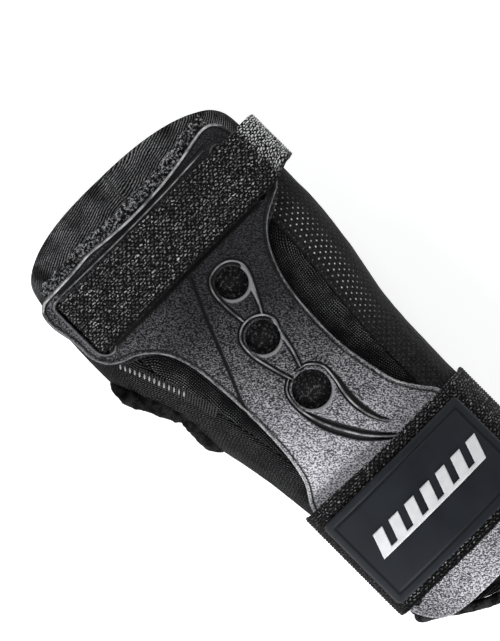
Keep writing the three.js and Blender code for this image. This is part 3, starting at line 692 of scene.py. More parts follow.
def webbing_nylon(name, light, wrap_highlight_tone):
    """Coarse black webbing. Long stitches lie in rows, each row half a stitch on from the last, and each
    stitch has its own brightness of pale fibre. It is painted paler, as a highlight, where the strap turns
    over the ulnar edge, and painted dark, as shade, along its lower edge."""
    m = Nodes(name, (0.01, 0.01, 0.011), 0.75, 0.12)
    point = m.object_point()
    u, v = m.split(m.uv())[0:2]
    sway = m.minus(m.noise(point, 1.6, 2.0, 0.7), 0.5)
    drift = m.minus(m.noise(point, 2.7, 2.0, 0.7), 0.5)
    across = m.plus(m.math("DIVIDE", v, STITCH_WIDTH * MM), m.times(drift, 2.0))
    row = m.math("FLOOR", across)
    place = m.math("FRACT", across)
    phase = m.times(m.math("MODULO", m.math("ABSOLUTE", row), 2.0), 0.5)
    along = m.plus(m.plus(m.math("DIVIDE", u, STITCH_LENGTH * MM), phase), m.times(sway, 2.2))
    crest = m.plus(0.5, m.times(m.math("COSINE", m.times(along, 2 * math.pi)), 0.5))
    hump = m.times(m.math("SINE", m.times(place, math.pi)), crest)
    stitch = m.add("ShaderNodeCombineXYZ", {0: row, 1: m.math("FLOOR", m.plus(along, 0.5))}).outputs[0]
    chance = m.add("ShaderNodeTexWhiteNoise", {"Vector": stitch}, noise_dimensions="2D").outputs["Value"]
    fibre = m.noise(point, 0.45, 2.0, 0.7)
    patches = m.remap(m.noise(point, 4.5, 3.0, 0.6), 0.35, 0.65, 0.45, 1.0)
    body = m.times(m.remap(hump, 0.25, 0.65), m.remap(fibre, 0.40, 0.60, 0.0, 1.0))
    lit = m.times(m.remap(hump, 0.45, 0.85), m.remap(fibre, 0.40, 0.54))
    fleck = m.times(m.times(lit, m.remap(chance, 0.15, 1.0, 0.02, 0.8)), patches)
    px, py, pz = m.split(point)[0:3]
    # Painted highlight on the part of the strap that wraps over the ulnar edge, brighter higher up.
    wrap_highlight = m.times(m.remap(px, 0.0440, 0.0462), m.remap(py, 0.02, 0.03))
    wrap_highlight = m.times(wrap_highlight, m.remap(pz, 0.018, 0.034, 0.15, 1.0))
    grey = m.mix(wrap_highlight, (light * 0.11,) * 3, (wrap_highlight_tone * 0.35,) * 3)
    white = m.mix(wrap_highlight, (light, light, light * 1.02), (wrap_highlight_tone,) * 3)
    surface = m.mix(m.math("MAXIMUM", body, m.times(wrap_highlight, m.remap(hump, 0.22, 0.42))),
                    (0.0015, 0.0015, 0.0020), grey)
    surface = m.mix(m.math("MAXIMUM", fleck, m.times(wrap_highlight, m.remap(hump, 0.35, 0.70))), surface, white)
    # The radial end of the forearm strap, where it turns down, is darker.
    tip = m.times(m.remap(px, -0.0308, -0.0325), m.remap(py, 0.0, -0.01))
    surface = m.mix(m.times(tip, 0.75), surface, (0.004, 0.004, 0.0045))
    # Painted shade: a dark band along the strap's lower-y edge, where it stands off the plate.
    proximal_edge_shade = m.remap(m.plus(v, m.times(sway, 0.0015)), 0.0020, 0.0006)
    m.color(m.mix(m.times(proximal_edge_shade, 0.9), surface, (0.0010, 0.0010, 0.0012)))
    m.bump(m.plus(hump, m.times(fibre, 0.6)), 0.40, 1.0)
    return m.material


def fine_knit(name, rib_mm, row_mm, light, patch_low, slant=(1.0, 0.0), dark=0.0015, chain=0.4,
              shade_until=0.0):
    """Fine knit: ribs, and rows of loops across them. chain is how far the loops break each rib up. slant is
    the direction across the ribs in the cloth, so that (1, 0) has the ribs along the sleeve. The cloth is
    painted darker, as shade, where u is less than shade_until."""
    m = Nodes(name, (0.012, 0.012, 0.013), 0.9, 0.05)
    u, v = m.split(m.uv())[0:2]
    point = m.object_point()
    sway = m.times(m.minus(m.noise(point, 10, 2.0), 0.5), 0.0030)
    across = m.plus(m.times(u, slant[0]), m.plus(m.times(v, slant[1]), sway))
    along = m.minus(m.times(v, slant[0]), m.times(u, slant[1]))
    rib = m.math("ABSOLUTE", m.math("SINE", m.times(across, math.pi * 1000 / rib_mm)))
    side = m.math("SIGN", m.math("SINE", m.times(across, 2 * math.pi * 1000 / rib_mm)))
    loops = m.times(m.plus(along, m.times(across, side)), 2 * math.pi * 1000 / row_mm)
    loop = m.plus(0.5, m.times(m.math("SINE", loops), 0.5))
    height = m.times(rib, m.plus(1 - chain, m.times(loop, chain)))
    fibre = m.noise(point, 0.4, 3.0, 0.65)
    patches = m.remap(m.noise(point, 9, 3.0), 0.38, 0.62, patch_low, 1.0)
    lit = m.times(m.remap(height, 0.50, 0.90), m.remap(fibre, 0.38, 0.60, 0.15, 1.0))
    lit = m.times(lit, patches)
    # Painted shade: for the back cloth u is the distance out from the splint's edge, so this darkens the
    # cloth beside the splint.
    if shade_until > 0:
        lit = m.times(lit, m.remap(u, 0.0, shade_until, 0.15, 1.0))
    m.color(m.mix(lit, (dark, dark, dark * 1.1), (light, light, light * 1.03)))
    m.bump(m.plus(height, m.times(fibre, 0.5)), 0.20, 1.0)
    return m.material


def dotted_mesh():
    """Spacer mesh: staggered rows of knots on black, with painted glints on them that fade out toward the
    wrist, the fingers and the side.
    """
    m = Nodes("dotted_mesh", (0.012, 0.012, 0.013), 0.8, 0.15)
    u, v = m.split(m.uv())[0:2]
    pitch_u, pitch_v = 4.6, 2.6
    column = m.math("FLOOR", m.math("DIVIDE", u, pitch_u * MM / 2))
    shift = m.times(m.math("MODULO", m.math("ABSOLUTE", column), 2.0), 0.5)
    cell_u = m.minus(m.math("FRACT", m.math("DIVIDE", u, pitch_u * MM / 2)), 0.5)
    cell_v = m.minus(m.math("FRACT", m.plus(m.math("DIVIDE", v, pitch_v * MM), shift)), 0.5)
    near_u = m.times(cell_u, pitch_u / 2)
    near_v = m.times(cell_v, pitch_v)
    distance = m.math("SQRT", m.plus(m.math("POWER", near_u, 2.0), m.math("POWER", near_v, 2.0)))
    dot = m.minus(1.0, m.remap(distance, 0.16, 0.42))
    point = m.object_point()
    py = m.split(point)[1]
    # Painted glints: the knots are painted pale only in a band where the light catches them.
    toward_wrist = m.remap(py, -0.004, 0.014)
    toward_fingers = m.remap(py, 0.062, 0.046)
    inside_lens = m.times(m.remap(u, 0.001, 0.004), m.remap(u, 0.017, 0.011))
    lit = m.times(m.times(toward_wrist, toward_fingers), inside_lens)
    uneven = m.remap(m.noise(point, 5, 2.0), 0.3, 0.65, 0.35, 1.0)
    strength = m.times(m.times(dot, uneven), m.remap(lit, 0.0, 1.0, 0.06, 1.0))
    fibre = m.noise(point, 0.6, 2.0, 0.6)
    ground = m.mix(m.remap(fibre, 0.45, 0.65), (0.002, 0.002, 0.0025), (0.022, 0.022, 0.023))
    m.color(m.mix(strength, ground, (0.85, 0.85, 0.83)))
    m.bump(m.plus(dot, m.times(fibre, 0.5)), 0.25, 0.8)
    return m.material


def tufted_edge():
    """Overlocked pad edge: a fluffy row of short loops."""
    m = Nodes("tufted_edge", (0.02, 0.02, 0.022), 0.85, 0.2)
    point = m.object_point()
    tuft = m.noise(point, 1.1, 3.0, 0.7)
    fibre = m.noise(point, 0.45, 2.0, 0.7)
    lit = m.times(m.remap(tuft, 0.48, 0.60), m.remap(fibre, 0.42, 0.58, 0.10, 1.0))
    m.color(m.mix(lit, (0.0015, 0.0015, 0.002), (0.62, 0.62, 0.64)))
    m.bump(m.plus(tuft, m.times(fibre, 0.4)), 0.7, 1.0)
    return m.material


def soft_binding(name, tone=0.006):
    """Folded stretch tape: nearly black, brushed, with small creases."""
    m = Nodes(name, (tone, tone, tone * 1.05), 0.95, 0.06)
    point = m.object_point()
    fibre = m.noise(point, 0.45, 4.0, 0.7)
    crease = m.noise(point, 3.0, 3.0, 0.6)
    m.color(m.mix(m.remap(m.times(fibre, crease), 0.18, 0.36),
                  (tone * 0.4, tone * 0.4, tone * 0.42), (tone * 6.0, tone * 6.0, tone * 6.2)))
    m.bump(m.plus(m.times(fibre, 0.5), crease), 0.8, 1.0)
    return m.material


def foam_cloth():
    """The pads' cover, seen in the vent holes: black cloth with scattered pale specks."""
    m = Nodes("foam_cloth", (0.012, 0.012, 0.013), 0.9, 0.2)
    point = m.object_point()
    grain = m.noise(point, 0.8, 3.0, 0.6)
    specks = m.remap(m.noise(point, 1.1, 4.0, 0.75), 0.54, 0.68)
    m.color(m.mix(specks, (0.003, 0.003, 0.0035), (0.10, 0.10, 0.105)))
    m.bump(grain, 0.5, 0.8)
    return m.material


def label_rubber():
    """Smooth soft PVC, very dark blue-grey, with faint handling marks, and painted shade in the groove round
    its edge.
    """
    m = Nodes("label_rubber", (0.010, 0.012, 0.016), 0.55, 0.16)
    point = m.object_point()
    smear = m.noise(point, 12, 3.0)
    dust = m.noise(point, 0.6, 2.0)
    flat = m.mix(m.remap(smear, 0.3, 0.7), (0.0090, 0.0105, 0.0140), (0.0125, 0.015, 0.0195))
    # Painted shade: the groove round the label, carried in the relief, is painted darker.
    m.color(m.mix(m.relief(), flat, (0.0025, 0.0030, 0.0040)))
    m.roughness(m.remap(smear, 0.3, 0.7, 0.50, 0.64))
    m.bump(dust, 0.02, 0.5)
    return m.material


def emblem_white():
    """Raised PVC in a white that is a little uneven."""
    m = Nodes("emblem_white", (0.80, 0.81, 0.82), 0.45, 0.4)
    point = m.object_point()
    tone = m.noise(point, 4, 3.0)
    m.color(m.mix(m.remap(tone, 0.3, 0.7), (0.52, 0.53, 0.545), (0.63, 0.64, 0.655)))
    m.bump(m.noise(point, 0.8, 2.0), 0.02, 0.4)
    return m.material


def sewing_thread(name, tone):
    """Twisted thread: fine slanting strands."""
    m = Nodes(name, (tone, tone, tone), 0.6, 0.4)
    point = m.object_point()
    strand = m.add("ShaderNodeTexWave", {"Vector": point, "Scale": 900.0, "Distortion": 1.0},
                   bands_direction="DIAGONAL").outputs["Fac"]
    m.color(m.mix(strand, (tone * 0.6,) * 3, (tone * 1.2,) * 3))
    m.bump(strand, 0.06, 0.7)
    return m.material


def hook_pile():
    """Hook or loop tape: a dense dark pile."""
    m = Nodes("hook_pile", (0.012, 0.012, 0.013), 0.8, 0.3)
    point = m.object_point()
    tufts = m.add("ShaderNodeTexVoronoi", {
        "Vector": point, "Scale": 1000 / 0.55, "Randomness": 0.6}).outputs["Distance"]
    m.color(m.mix(tufts, (0.028, 0.028, 0.030), (0.006, 0.006, 0.006)))
    m.bump(tufts, -0.35, 0.9)
    m.shader.inputs["Sheen Weight"].default_value = 0.2
    m.shader.inputs["Sheen Roughness"].default_value = 0.5
    return m.material


PLASTIC = splint_plastic()
BEAD = bead_plastic()
WEBBING = webbing_nylon("webbing_nylon", 0.85, 0.70)
DULL_WEBBING = webbing_nylon("dull_webbing_nylon", 0.50, 0.40)
KNIT = fine_knit("fine_knit", 0.80, 0.90, light=0.30, patch_low=0.30, chain=0.7, shade_until=0.006)
SIDE_KNIT = fine_knit("side_knit", 1.0, 1.2, slant=(0.94, 0.34), light=0.12, patch_low=0.6)
PALM_KNIT = fine_knit("palm_knit", 1.2, 1.4, light=0.10, patch_low=0.6)
RIB = fine_knit("ribbed_knit", 0.90, 1.3, slant=(-0.35, 0.94), light=0.36, patch_low=0.2, chain=0.25,
                dark=0.0008)
MESH_CLOTH = dotted_mesh()
TUFTS = tufted_edge()
BINDING = soft_binding("soft_binding")
WELT = soft_binding("thumb_welt", 0.004)
FOAM = foam_cloth()
RUBBER = label_rubber()
WHITE = emblem_white()
THREAD = sewing_thread("black_thread", 0.02)
PALE_THREAD = sewing_thread("pale_thread", 0.36)
HOOKS = hook_pile()

# ---------------------------------------------------------------- splints

SPLINT_LINE = spline(SPLINT_OUTLINE, 6, closed=True)
SLOTS = [
    (HAND_STRAP["slot_x"], HAND_STRAP["y_low"] - 0.8, HAND_STRAP["y_high"] + 0.8),
    (HAND_STRAP["ulnar_slot_x"], HAND_STRAP["y_low"] - 0.4, HAND_STRAP["y_high"] + 0.4),
    (LOOP_BAND["radial_x"], LOOP_BAND["y_low"] - 1.0, LOOP_BAND["y_high"] + 1.0),
    (LOOP_BAND["ulnar_x"], LOOP_BAND["y_low"] - 1.0, LOOP_BAND["y_high"] + 1.0),
]
# Raised lines: a long drop round each of two vent holes, as (x, y) points, then two sickles that start round
# the third hole and run on toward the forearm.
DROPS = [
    [(-1.7, 31), (-2.5, 39), (-2.1, 46.6), (0.2, 50.6), (5.0, 52.0), (9.8, 50.6), (12.3, 46.8), (11.9, 43),
     (8.6, 36), (4.3, 28.2)],
    [(-4.2, 5.3), (-6.7, 14.1), (-8.1, 21.3), (-7.3, 27.6), (-3.8, 30.6), (0.6, 30.9), (4.8, 28.6),
     (6.5, 24.6), (5.2, 20.9), (3.6, 13.5), (1.1, 5.7)],
]
SICKLES = [
    [(-4.5, 6.4), (-8.4, 3.4), (-9.8, -2.3), (-9.1, -8.0), (-7.2, -14.0), (-4.2, -20.1), (-0.3, -26.4),
     (4.7, -32.3), (9.5, -36.5)],
    [(-0.8, 6.2), (3.6, 5.0), (6.9, 1.0), (6.8, -5.0), (5.5, -11.8), (5.4, -18.0), (7.1, -25.0),
     (10.6, -31.0)],
]
CREASE = [(-3.8, 56.2), (-7.5, 48.5), (-12, 37.8), (-17.5, 24.0), (-24.2, 8.0)]
SLOT_LIP = [(-46.9, 62.5), (-46.2, 59.4), (-44.3, 57.4), (-41.8, 56.9), (-40.0, 57.9)]
CHANNEL = [(-41.5, 84.2), (-30, 83.9), (-10, 83.6), (10, 83.9), (31, 85.0)]
BEAD_LIFT = 0.05


def splint_depth(x, y):
    depth = depth_in_outline(x, y, SPLINT_LINE)
    for slot in SLOTS:
        depth = np.minimum(depth, slot_distance(x, y, *slot))
    for hole_x, hole_y, radius in VENT_HOLES:
        depth = np.minimum(depth, np.hypot(x - hole_x, y - hole_y) - radius)
    return depth


def signed_line(x, y, points):
    """Signed distance from a curve, positive on its left, and how far along it the nearest point is."""
    line = spline(points, 8)
    distance, place = segment_distance(x, y, line)
    ahead = np.clip((place * (len(line) - 1)).astype(int), 0, len(line) - 2)
    direction = line[ahead + 1] - line[ahead]
    from_x, from_y = x - line[ahead][..., 0], y - line[ahead][..., 1]
    side = np.sign(direction[..., 0] * from_y - direction[..., 1] * from_x)
    return distance * side, place


# Each kind of line on the splint gives a height in millimetres, how much painted highlight it has, as on a
# raised line, and how much painted shade, as in a groove.


def rim_relief(x, y):
    """A soft raised rim just inside the outline, with a painted highlight on it, and a line of painted shade
    behind it, where a step down would be.
    """
    depth = np.maximum(depth_in_outline(x, y, SPLINT_LINE), 0)
    rim = bump_profile(depth - 0.45, 0.4)
    step = 0.9 * bump_profile(depth - 1.5, 0.45) * smoothstep(-86, -78, y)
    return 0.30 * rim, 0.45 * rim, step


def vent_lip_relief(x, y, hole_x, hole_y, radius):
    """A lip round a vent hole, wider on the forearm's side and painted with a highlight that is brighter
    there, on the side that catches the light.
    """
    from_edge = np.hypot(x - hole_x, y - hole_y) - radius
    forearm_side = smoothstep(-0.3, 0.9, (hole_y - y) / radius)
    lip = bump_profile(from_edge - 0.4, 0.35 + 0.45 * forearm_side)
    return 0.45 * lip, (0.45 + 0.65 * forearm_side) * lip, 0 * lip


def drop_relief(x, y, points, wedge_width):
    """Grooves on both sides of a drop's line, painted dark as shade, and a raised wedge inside it past its
    round end, painted pale as a highlight.
    """
    signed, place = signed_line(x, y, points)
    wedge = wedge_width * smoothstep(0.62, 0.76, place) * (1 - smoothstep(0.76, 1.0, place))
    on_wedge = smoothstep(0, 0.4, wedge + 0.4 + signed) * (signed < 0) * smoothstep(0.1, 0.4, wedge)
    shaded_groove = bump_profile(np.abs(signed) - 0.75, 0.50) * (1 - on_wedge)
    return 0.35 * (on_wedge - shaded_groove), 1.1 * on_wedge, shaded_groove


def sickle_relief(x, y, points, right_share):
    """A trench on both sides of a sickle's line, painted dark as shade, which widens down the sickle and
    closes at its tip.
    right_share is the trench's width on the line's right, as a part of its width on the left."""
    signed, place = signed_line(x, y, points)
    width = 0.35 + 0.65 * smoothstep(0.25, 0.6, place) * (1 - smoothstep(0.7, 1.0, place))
    reach = np.where(signed > 0, width, width * right_share)
    trench = bump_profile(np.abs(signed) - 0.30 - reach, reach) * (1 - smoothstep(0.94, 1.0, place))
    return -0.70 * trench, 0 * trench, 1.3 * trench


def crease_relief(x, y):
    # The crease is a shallow dip painted dark as shade.
    signed, _ = signed_line(x, y, CREASE)
    crease = bump_profile(signed, 0.6)
    return -0.45 * crease, 0 * crease, 1.4 * crease


def channel_relief(x, y):
    """The step of the hand strap's channel on the fingers' side, painted dark as shade, and a line of painted
    shadow along the strap's other side.
    """
    signed, _ = signed_line(x, y, CHANNEL)
    step = 0.8 * bump_profile(signed - 1.0, 0.7) * (np.abs(x + 5) < 37)
    strap_shadow = 0.9 * bump_profile(y - (HAND_STRAP["y_low"] - 0.7), 1.0)
    return -0.3 * bump_profile(signed - 1.0, 0.6), 0 * step, step + strap_shadow


def slot_lip_relief(x, y, slot_x, y_low, y_high):
    # The lip round the slot carries a painted highlight.
    lip = bump_profile(slot_distance(x, y, slot_x, y_low, y_high) - 0.7, 0.5)
    return 0.25 * lip, 0.7 * lip, 0 * lip


def splint_faces(x, y, depth):
    lines = [rim_relief(x, y), crease_relief(x, y), channel_relief(x, y)]
    lines += [vent_lip_relief(x, y, *hole) for hole in VENT_HOLES]
    lines += [drop_relief(x, y, points, width) for points, width in zip(DROPS, (2.1, 0.9))]
    lines += [sickle_relief(x, y, points, share) for points, share in zip(SICKLES, (1.0, 0.35))]
    lines += [slot_lip_relief(x, y, *slot) for slot in SLOTS[:2]]
    height, ridge_highlight, shaded_groove = (sum(line[k] for line in lines) for k in range(3))
    height = height + 0.12 * value_noise(x, y, 17.0, 3)
    rounding = edge_rounding(depth, 0.9)
    upper = splint_outer(x, y) + height - 0.85 * rounding
    lower = splint_inner(x, y) + 0.45 * rounding
    # The relief carries the painted highlight of raised lines and the painted shade of grooves.
    return lower, upper, np.clip(0.5 + 0.5 * ridge_highlight - 0.5 * shaded_groove, 0, 1)


def bead_along(points, radius, ends):
    """Corner points and quads of a thin round bead that follows a line of (x, y) points on the dorsal
    splint. It tapers over the given part of its length at both ends."""
    line = spline(points, 10)
    x, y = line[:, 0], line[:, 1]
    sides = 8
    direction = np.gradient(line, axis=0)
    direction /= np.linalg.norm(direction, axis=1, keepdims=True)
    across = np.stack([-direction[:, 1], direction[:, 0], np.zeros(len(x))], axis=1)
    middle = np.stack([x, y, splint_outer(x, y) + BEAD_LIFT], axis=1)
    along = np.linspace(0, 1, len(x))
    size = radius * np.sqrt(np.clip(np.minimum(along, 1 - along) / ends, 0.02, 1))
    turn = np.linspace(0, 2 * np.pi, sides, endpoint=False)
    upward = np.array([0, 0, 0.9])
    ring = np.cos(turn)[None, :, None] * across[:, None] + np.sin(turn)[None, :, None] * upward
    points = middle[:, None] + size[:, None, None] * ring
    index = np.arange(len(x) * sides).reshape(len(x), sides)
    quads = ring_quads(index[:-1], index[1:])
    caps = [index[end, list(pick)] for end in (0, -1) for pick in ((0, 1, 2, 3), (0, 3, 4, 7), (4, 5, 6, 7))]
    return points.reshape(-1, 3), np.concatenate([quads, np.array(caps)])


def make_raised_lines():
    """Thin beads on the dorsal splint, painted with a highlight: round the drops, down the sickles, by the
    channel and the rim.
    """
    distal_rim = [p for p in SPLINT_LINE if p[1] > 80.5 and -51.5 < p[0] < 43.0]
    distal_rim = [(p[0], p[1] - 0.75) for p in distal_rim[::4]]
    distal_rim = sorted(distal_rim, key=lambda p: p[0])
    lines = [(points, 0.30, 0.03) for points in DROPS] + [(points, 0.30, 0.30) for points in SICKLES]
    lines += [(CHANNEL, 0.26, 0.08), (distal_rim, 0.42, 0.02), (SLOT_LIP, 0.42, 0.25)]
    for side, y_end, radius in ((-1, -31.0, 0.26), (1, -28.0, 0.20)):
        rim = [(p[0] - side * 0.6, p[1]) for p in SPLINT_LINE[::4] if p[0] * side > 0 and y_end < p[1] < 84]
        lines.append((sorted(rim, key=lambda p: p[1]), radius, 0.04))
    points, quads, count = [], [], 0
    for line, radius, ends in lines:
        corners, faces = bead_along(line, radius, ends)
        points.append(corners)
        quads.append(faces + count)
        count += len(corners)
    points, quads = np.concatenate(points), np.concatenate(quads)
    piece = make_piece("splint_raised_lines", points, quads, BEAD)
    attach(piece, "guard")


def make_dorsal_splint():
    piece = cut_sheet("dorsal_splint_shell", splint_depth, finer_between(-53, 45, -12, 16, 0.6, 0.35),
                      finer_between(-96, 92.4, -36, 50, 0.6, 0.35), splint_faces, PLASTIC)
    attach(piece, "guard")
    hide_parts("dorsal_splint")


PALM_SPLINT_OTHER_HALF = [(-px, py) for px, py in PALM_SPLINT_HALF_OUTLINE[-2:0:-1]]
PALM_SPLINT_LINE = spline(PALM_SPLINT_HALF_OUTLINE + PALM_SPLINT_OTHER_HALF, 8, closed=True)


def palm_splint_depth(x, y):
    return depth_in_outline(x, y, PALM_SPLINT_LINE)


def palm_splint_faces(x, y, depth):
    rounding = edge_rounding(depth, 1.3)
    rails = sum(bump_profile(x - rail, 1.0) for rail in (-9, 0, 9))
    rails = rails * smoothstep(6, 14, palm_splint_depth(x, y)) * smoothstep(-42, -34, y)
    rim = bump_profile(depth - 2.2, 0.7)
    lower = palm_splint_outer(x, y) + 1.2 * rounding + 0.45 * (1 - rails) * smoothstep(1.5, 3.5, depth)
    upper = palm_splint_outer(x, y) + PALM_SPLINT_THICKNESS - 0.8 * rounding
    # The rails and the rim carry the plastic's painted highlight of raised lines.
    return lower, upper, np.clip(0.5 + 0.5 * (rails + rim), 0, 1)


def make_palm_splint():
    piece = cut_sheet("palm_splint_shell", palm_splint_depth, even(-27, 27, 0.6), even(-73, 60, 0.6),
                      palm_splint_faces, PLASTIC)
    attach(piece, "guard")
    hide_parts("palm_splint")


# ---------------------------------------------------------------- straps


def over_splint(y, height, x_from, x_to, count):
    return [(x, splint_outer(x, y) + height) for x in np.linspace(x_from, x_to, count)]


def into_slot(y, slot_x, inward, height):
    top = splint_outer(slot_x, y) + height
    bottom = splint_inner(slot_x, y) + 0.3
    return [(slot_x, bottom), (slot_x, top - 1.9), (slot_x + inward * 0.55, top - 0.55)]


def hand_strap_path(y):
    y = np.float64(y)
    hinge = HAND_STRAP["hinge_x"]
    hinge_z = splint_outer(hinge, y) + WEB_ON_SPLINT
    _, _, centre_z, _, _ = body_section(y)
    web_under_palm = BAND_THICKNESS + GAP + 0.2 + 2 * (HOOK_THICKNESS + GAP) + WEBBING_THICKNESS / 2
    points = into_slot(y, HAND_STRAP["slot_x"], 1, WEB_ON_SPLINT)
    points += over_splint(y, WEB_ON_SPLINT, HAND_STRAP["slot_x"] + 1.9, hinge - 1.3, 9)
    reach = HAND_STRAP["reach_x"]
    points += [(hinge + 0.9, hinge_z - 1.1), (reach - 2.6, hinge_z - 3), (reach - 0.3, hinge_z - 8)]
    points += [(reach, centre_z)]
    points += [(reach - 1.4, centre_z - 8.5), (reach - 4.6, centre_z - 13.8), (reach - 10, centre_z - 17.2)]
    points += [(x, body_height(x, y, 0, -1) - web_under_palm) for x in (32, 27, HAND_STRAP["tip_x"])]
    return points


def drawn_in(x, z):
    """The hand strap is gathered where it turns over the ulnar edge."""
    return 3.4 * smoothstep(40, 52, x), 0 * z


def pushed_along(x, z):
    """Across the top the forearm strap lies a little toward the fingers, most of all at its loose end."""
    on_top = smoothstep(20, 45, z)
    return 1.5 * on_top, (2.2 + smoothstep(0, -30, x)) * on_top


def make_hand_strap():
    y_low, y_high = HAND_STRAP["y_low"], HAND_STRAP["y_high"]
    piece = webbing("hand_strap", hand_strap_path, y_low, y_high, WEBBING, drawn_in, wave=0.12)
    hinge, y_mid = HAND_STRAP["hinge_x"], (y_low + y_high) / 2
    z = float(splint_outer(hinge, np.float64(y_mid)) + WEB_ON_SPLINT)
    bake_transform(piece)
    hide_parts("hand_strap_base", "hand_strap_flap")


def forearm_strap_path(y):
    """The forearm strap from where it is sewn under the palm splint, round the ulnar side, to its middle."""
    y = np.float64(y)
    _, _, centre_z, _, _ = body_section(y)
    skid_z = palm_splint_outer(0, y)
    side = body_point(math.pi / 2, y, SLEEVE_THICKNESS + 0.8 + WEBBING_THICKNESS / 2)[0]
    hinge = FOREARM_STRAP["hinge_x"]
    hinge_z = splint_outer(hinge, y) + FLAP_ON_SPLINT
    under_splint = GAP + WEBBING_THICKNESS / 2
    points = [(x, palm_splint_outer(x, y) - under_splint) for x in (FOREARM_STRAP["sewn_x"], 0, 13)]
    points += [(24, skid_z + 0.4), (32.6, skid_z + 6.8), (38.4, skid_z + 17)]
    points += [(side, centre_z), (side - 0.4, centre_z + 9.5)]
    points += [(38.6, hinge_z - 6.5), (hinge + 0.9, hinge_z - 1.3)]
    return points + over_splint(y, FLAP_ON_SPLINT, hinge - 1.3, 0, 6)


def forearm_tip_path(y):
    y = np.float64(y)
    start = FOREARM_STRAP["tip_start_x"]
    root_z = splint_outer(start, y) + FLAP_ON_SPLINT
    points = over_splint(y, FLAP_ON_SPLINT, 0, start + 0.7, 6) + [(start - 0.7, root_z - 0.3)]
    return points + [(-33.4, root_z - 1.6), (-34.9, root_z - 4.6), (-35.4, root_z - 9.5)]


def bend_with_strap_end(piece):
    """Bakes the piece's transform into its mesh; the strap end's start and height are worked out but not
    used.
    """
    start = FOREARM_STRAP["tip_start_x"]
    y_mid = (FOREARM_STRAP["y_low"] + FOREARM_STRAP["y_high"]) / 2
    tip_z = float(splint_outer(start, np.float64(y_mid)) + FLAP_ON_SPLINT)
    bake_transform(piece)


def make_forearm_strap():
    y_low, y_high = FOREARM_STRAP["y_low"], FOREARM_STRAP["y_high"]
    y_mid = (y_low + y_high) / 2
    _, length = resample(spline(forearm_strap_path(y_mid), 8), 10)
    lower = webbing("forearm_strap_lower", forearm_strap_path, y_low, y_high, DULL_WEBBING, pushed_along,
                    face=-1, start=-length, wave=0.15)
    hinge = FOREARM_STRAP["hinge_x"]
    z = float(splint_outer(hinge, np.float64(y_mid)) + FLAP_ON_SPLINT)
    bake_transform(lower)
    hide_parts("forearm_strap_base", "forearm_strap_flap")
    end = webbing("forearm_strap_end", forearm_tip_path, y_low, y_high, DULL_WEBBING, pushed_along, face=-1,
                  wave=0.15)
    bend_with_strap_end(end)
    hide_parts("forearm_strap_tip")


# ---------------------------------------------------------------- label and its mark

# The label is a little larger than the CAD solid, and its radial end laps over the edge of the strap.
LABEL = {"y_low": -78.3, "y_high": -39.6, "radial_x": -33.8, "ulnar_x": 32.6, "corner": 2.0,
         "bends_from_x": -30.7}


def label_depth(x, y):
    """Depth inside the label's outline, a rectangle with round corners."""
    corner = LABEL["corner"]
    half_x = (LABEL["ulnar_x"] - LABEL["radial_x"]) / 2 - corner
    half_y = (LABEL["y_high"] - LABEL["y_low"]) / 2 - corner
    dx = np.abs(x - (LABEL["radial_x"] + LABEL["ulnar_x"]) / 2) - half_x
    dy = np.abs(y - (LABEL["y_low"] + LABEL["y_high"]) / 2) - half_y
    outside = np.hypot(np.maximum(dx, 0), np.maximum(dy, 0))
    return corner - outside - np.minimum(np.maximum(dx, dy), 0)


def label_faces(x, y, depth):
    rounding = edge_rounding(depth, 0.7)
    # The groove is also painted darker, as shade, through the relief.
    shaded_groove = bump_profile(depth - 3.2, 0.42)
    over_the_edge = 0.15 * np.maximum(LABEL["bends_from_x"] - x, 0) ** 2
    lower = splint_outer(x, y) + LABEL_UNDERSIDE - over_the_edge
    upper = lower + LABEL_THICKNESS - 0.6 * rounding - 0.45 * shaded_groove
    return lower, upper, shaded_groove


def make_label():
    xs = even(LABEL["radial_x"] - 1, LABEL["ulnar_x"] + 1, 0.4)
    ys = even(LABEL["y_low"] - 4, LABEL["y_high"] + 4, 0.4)
    label = cut_sheet("forearm_label_patch", label_depth, xs, ys, label_faces, RUBBER)
    bend_with_strap_end(label)
    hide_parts("forearm_label")


EMBLEM = {"bars": 7, "bar_width": 4.6, "pitch": 7.7, "height": 9.0, "lean": 3.2, "spine": 1.6,
          "centre_x": 1.0, "centre_y": -58.2}


def emblem_depth(x, y):
    """Depth inside a row of leaning bars that stand on a thin spine."""
    total = (EMBLEM["bars"] - 1) * EMBLEM["pitch"] + EMBLEM["bar_width"] + EMBLEM["lean"]
    left = EMBLEM["centre_x"] - total / 2
    up = y - EMBLEM["centre_y"] + EMBLEM["height"] / 2
    leaned = x - left - EMBLEM["lean"] * up / EMBLEM["height"]
    half = EMBLEM["bar_width"] / 2
    number = np.clip(np.round((leaned - half) / EMBLEM["pitch"]), 0, EMBLEM["bars"] - 1)
    bar = half - np.abs(leaned - half - number * EMBLEM["pitch"])
    bar = np.minimum(bar * 0.93, np.minimum(up, EMBLEM["height"] - up))
    right = (EMBLEM["bars"] - 1) * EMBLEM["pitch"] + EMBLEM["bar_width"]
    spine = np.minimum(np.minimum(up, EMBLEM["spine"] - up), np.minimum(leaned, right - leaned))
    return np.maximum(bar, spine)


def emblem_faces(x, y, depth):
    rounding = edge_rounding(depth, 0.35)
    lower = splint_outer(x, y) + LABEL_UNDERSIDE + LABEL_THICKNESS - 0.05
    return lower, lower + 0.75 - 0.3 * rounding, np.zeros(x.shape)


def make_emblem():
    half = EMBLEM["height"] / 2 + 1
    ys = even(EMBLEM["centre_y"] - half, EMBLEM["centre_y"] + half, 0.25)
    mark = cut_sheet("label_mark", emblem_depth, even(-30, 32, 0.25), ys, emblem_faces, WHITE)
    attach(mark, "forearm_flap")
    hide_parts("label_emblem")


# ---------------------------------------------------------------- sleeve

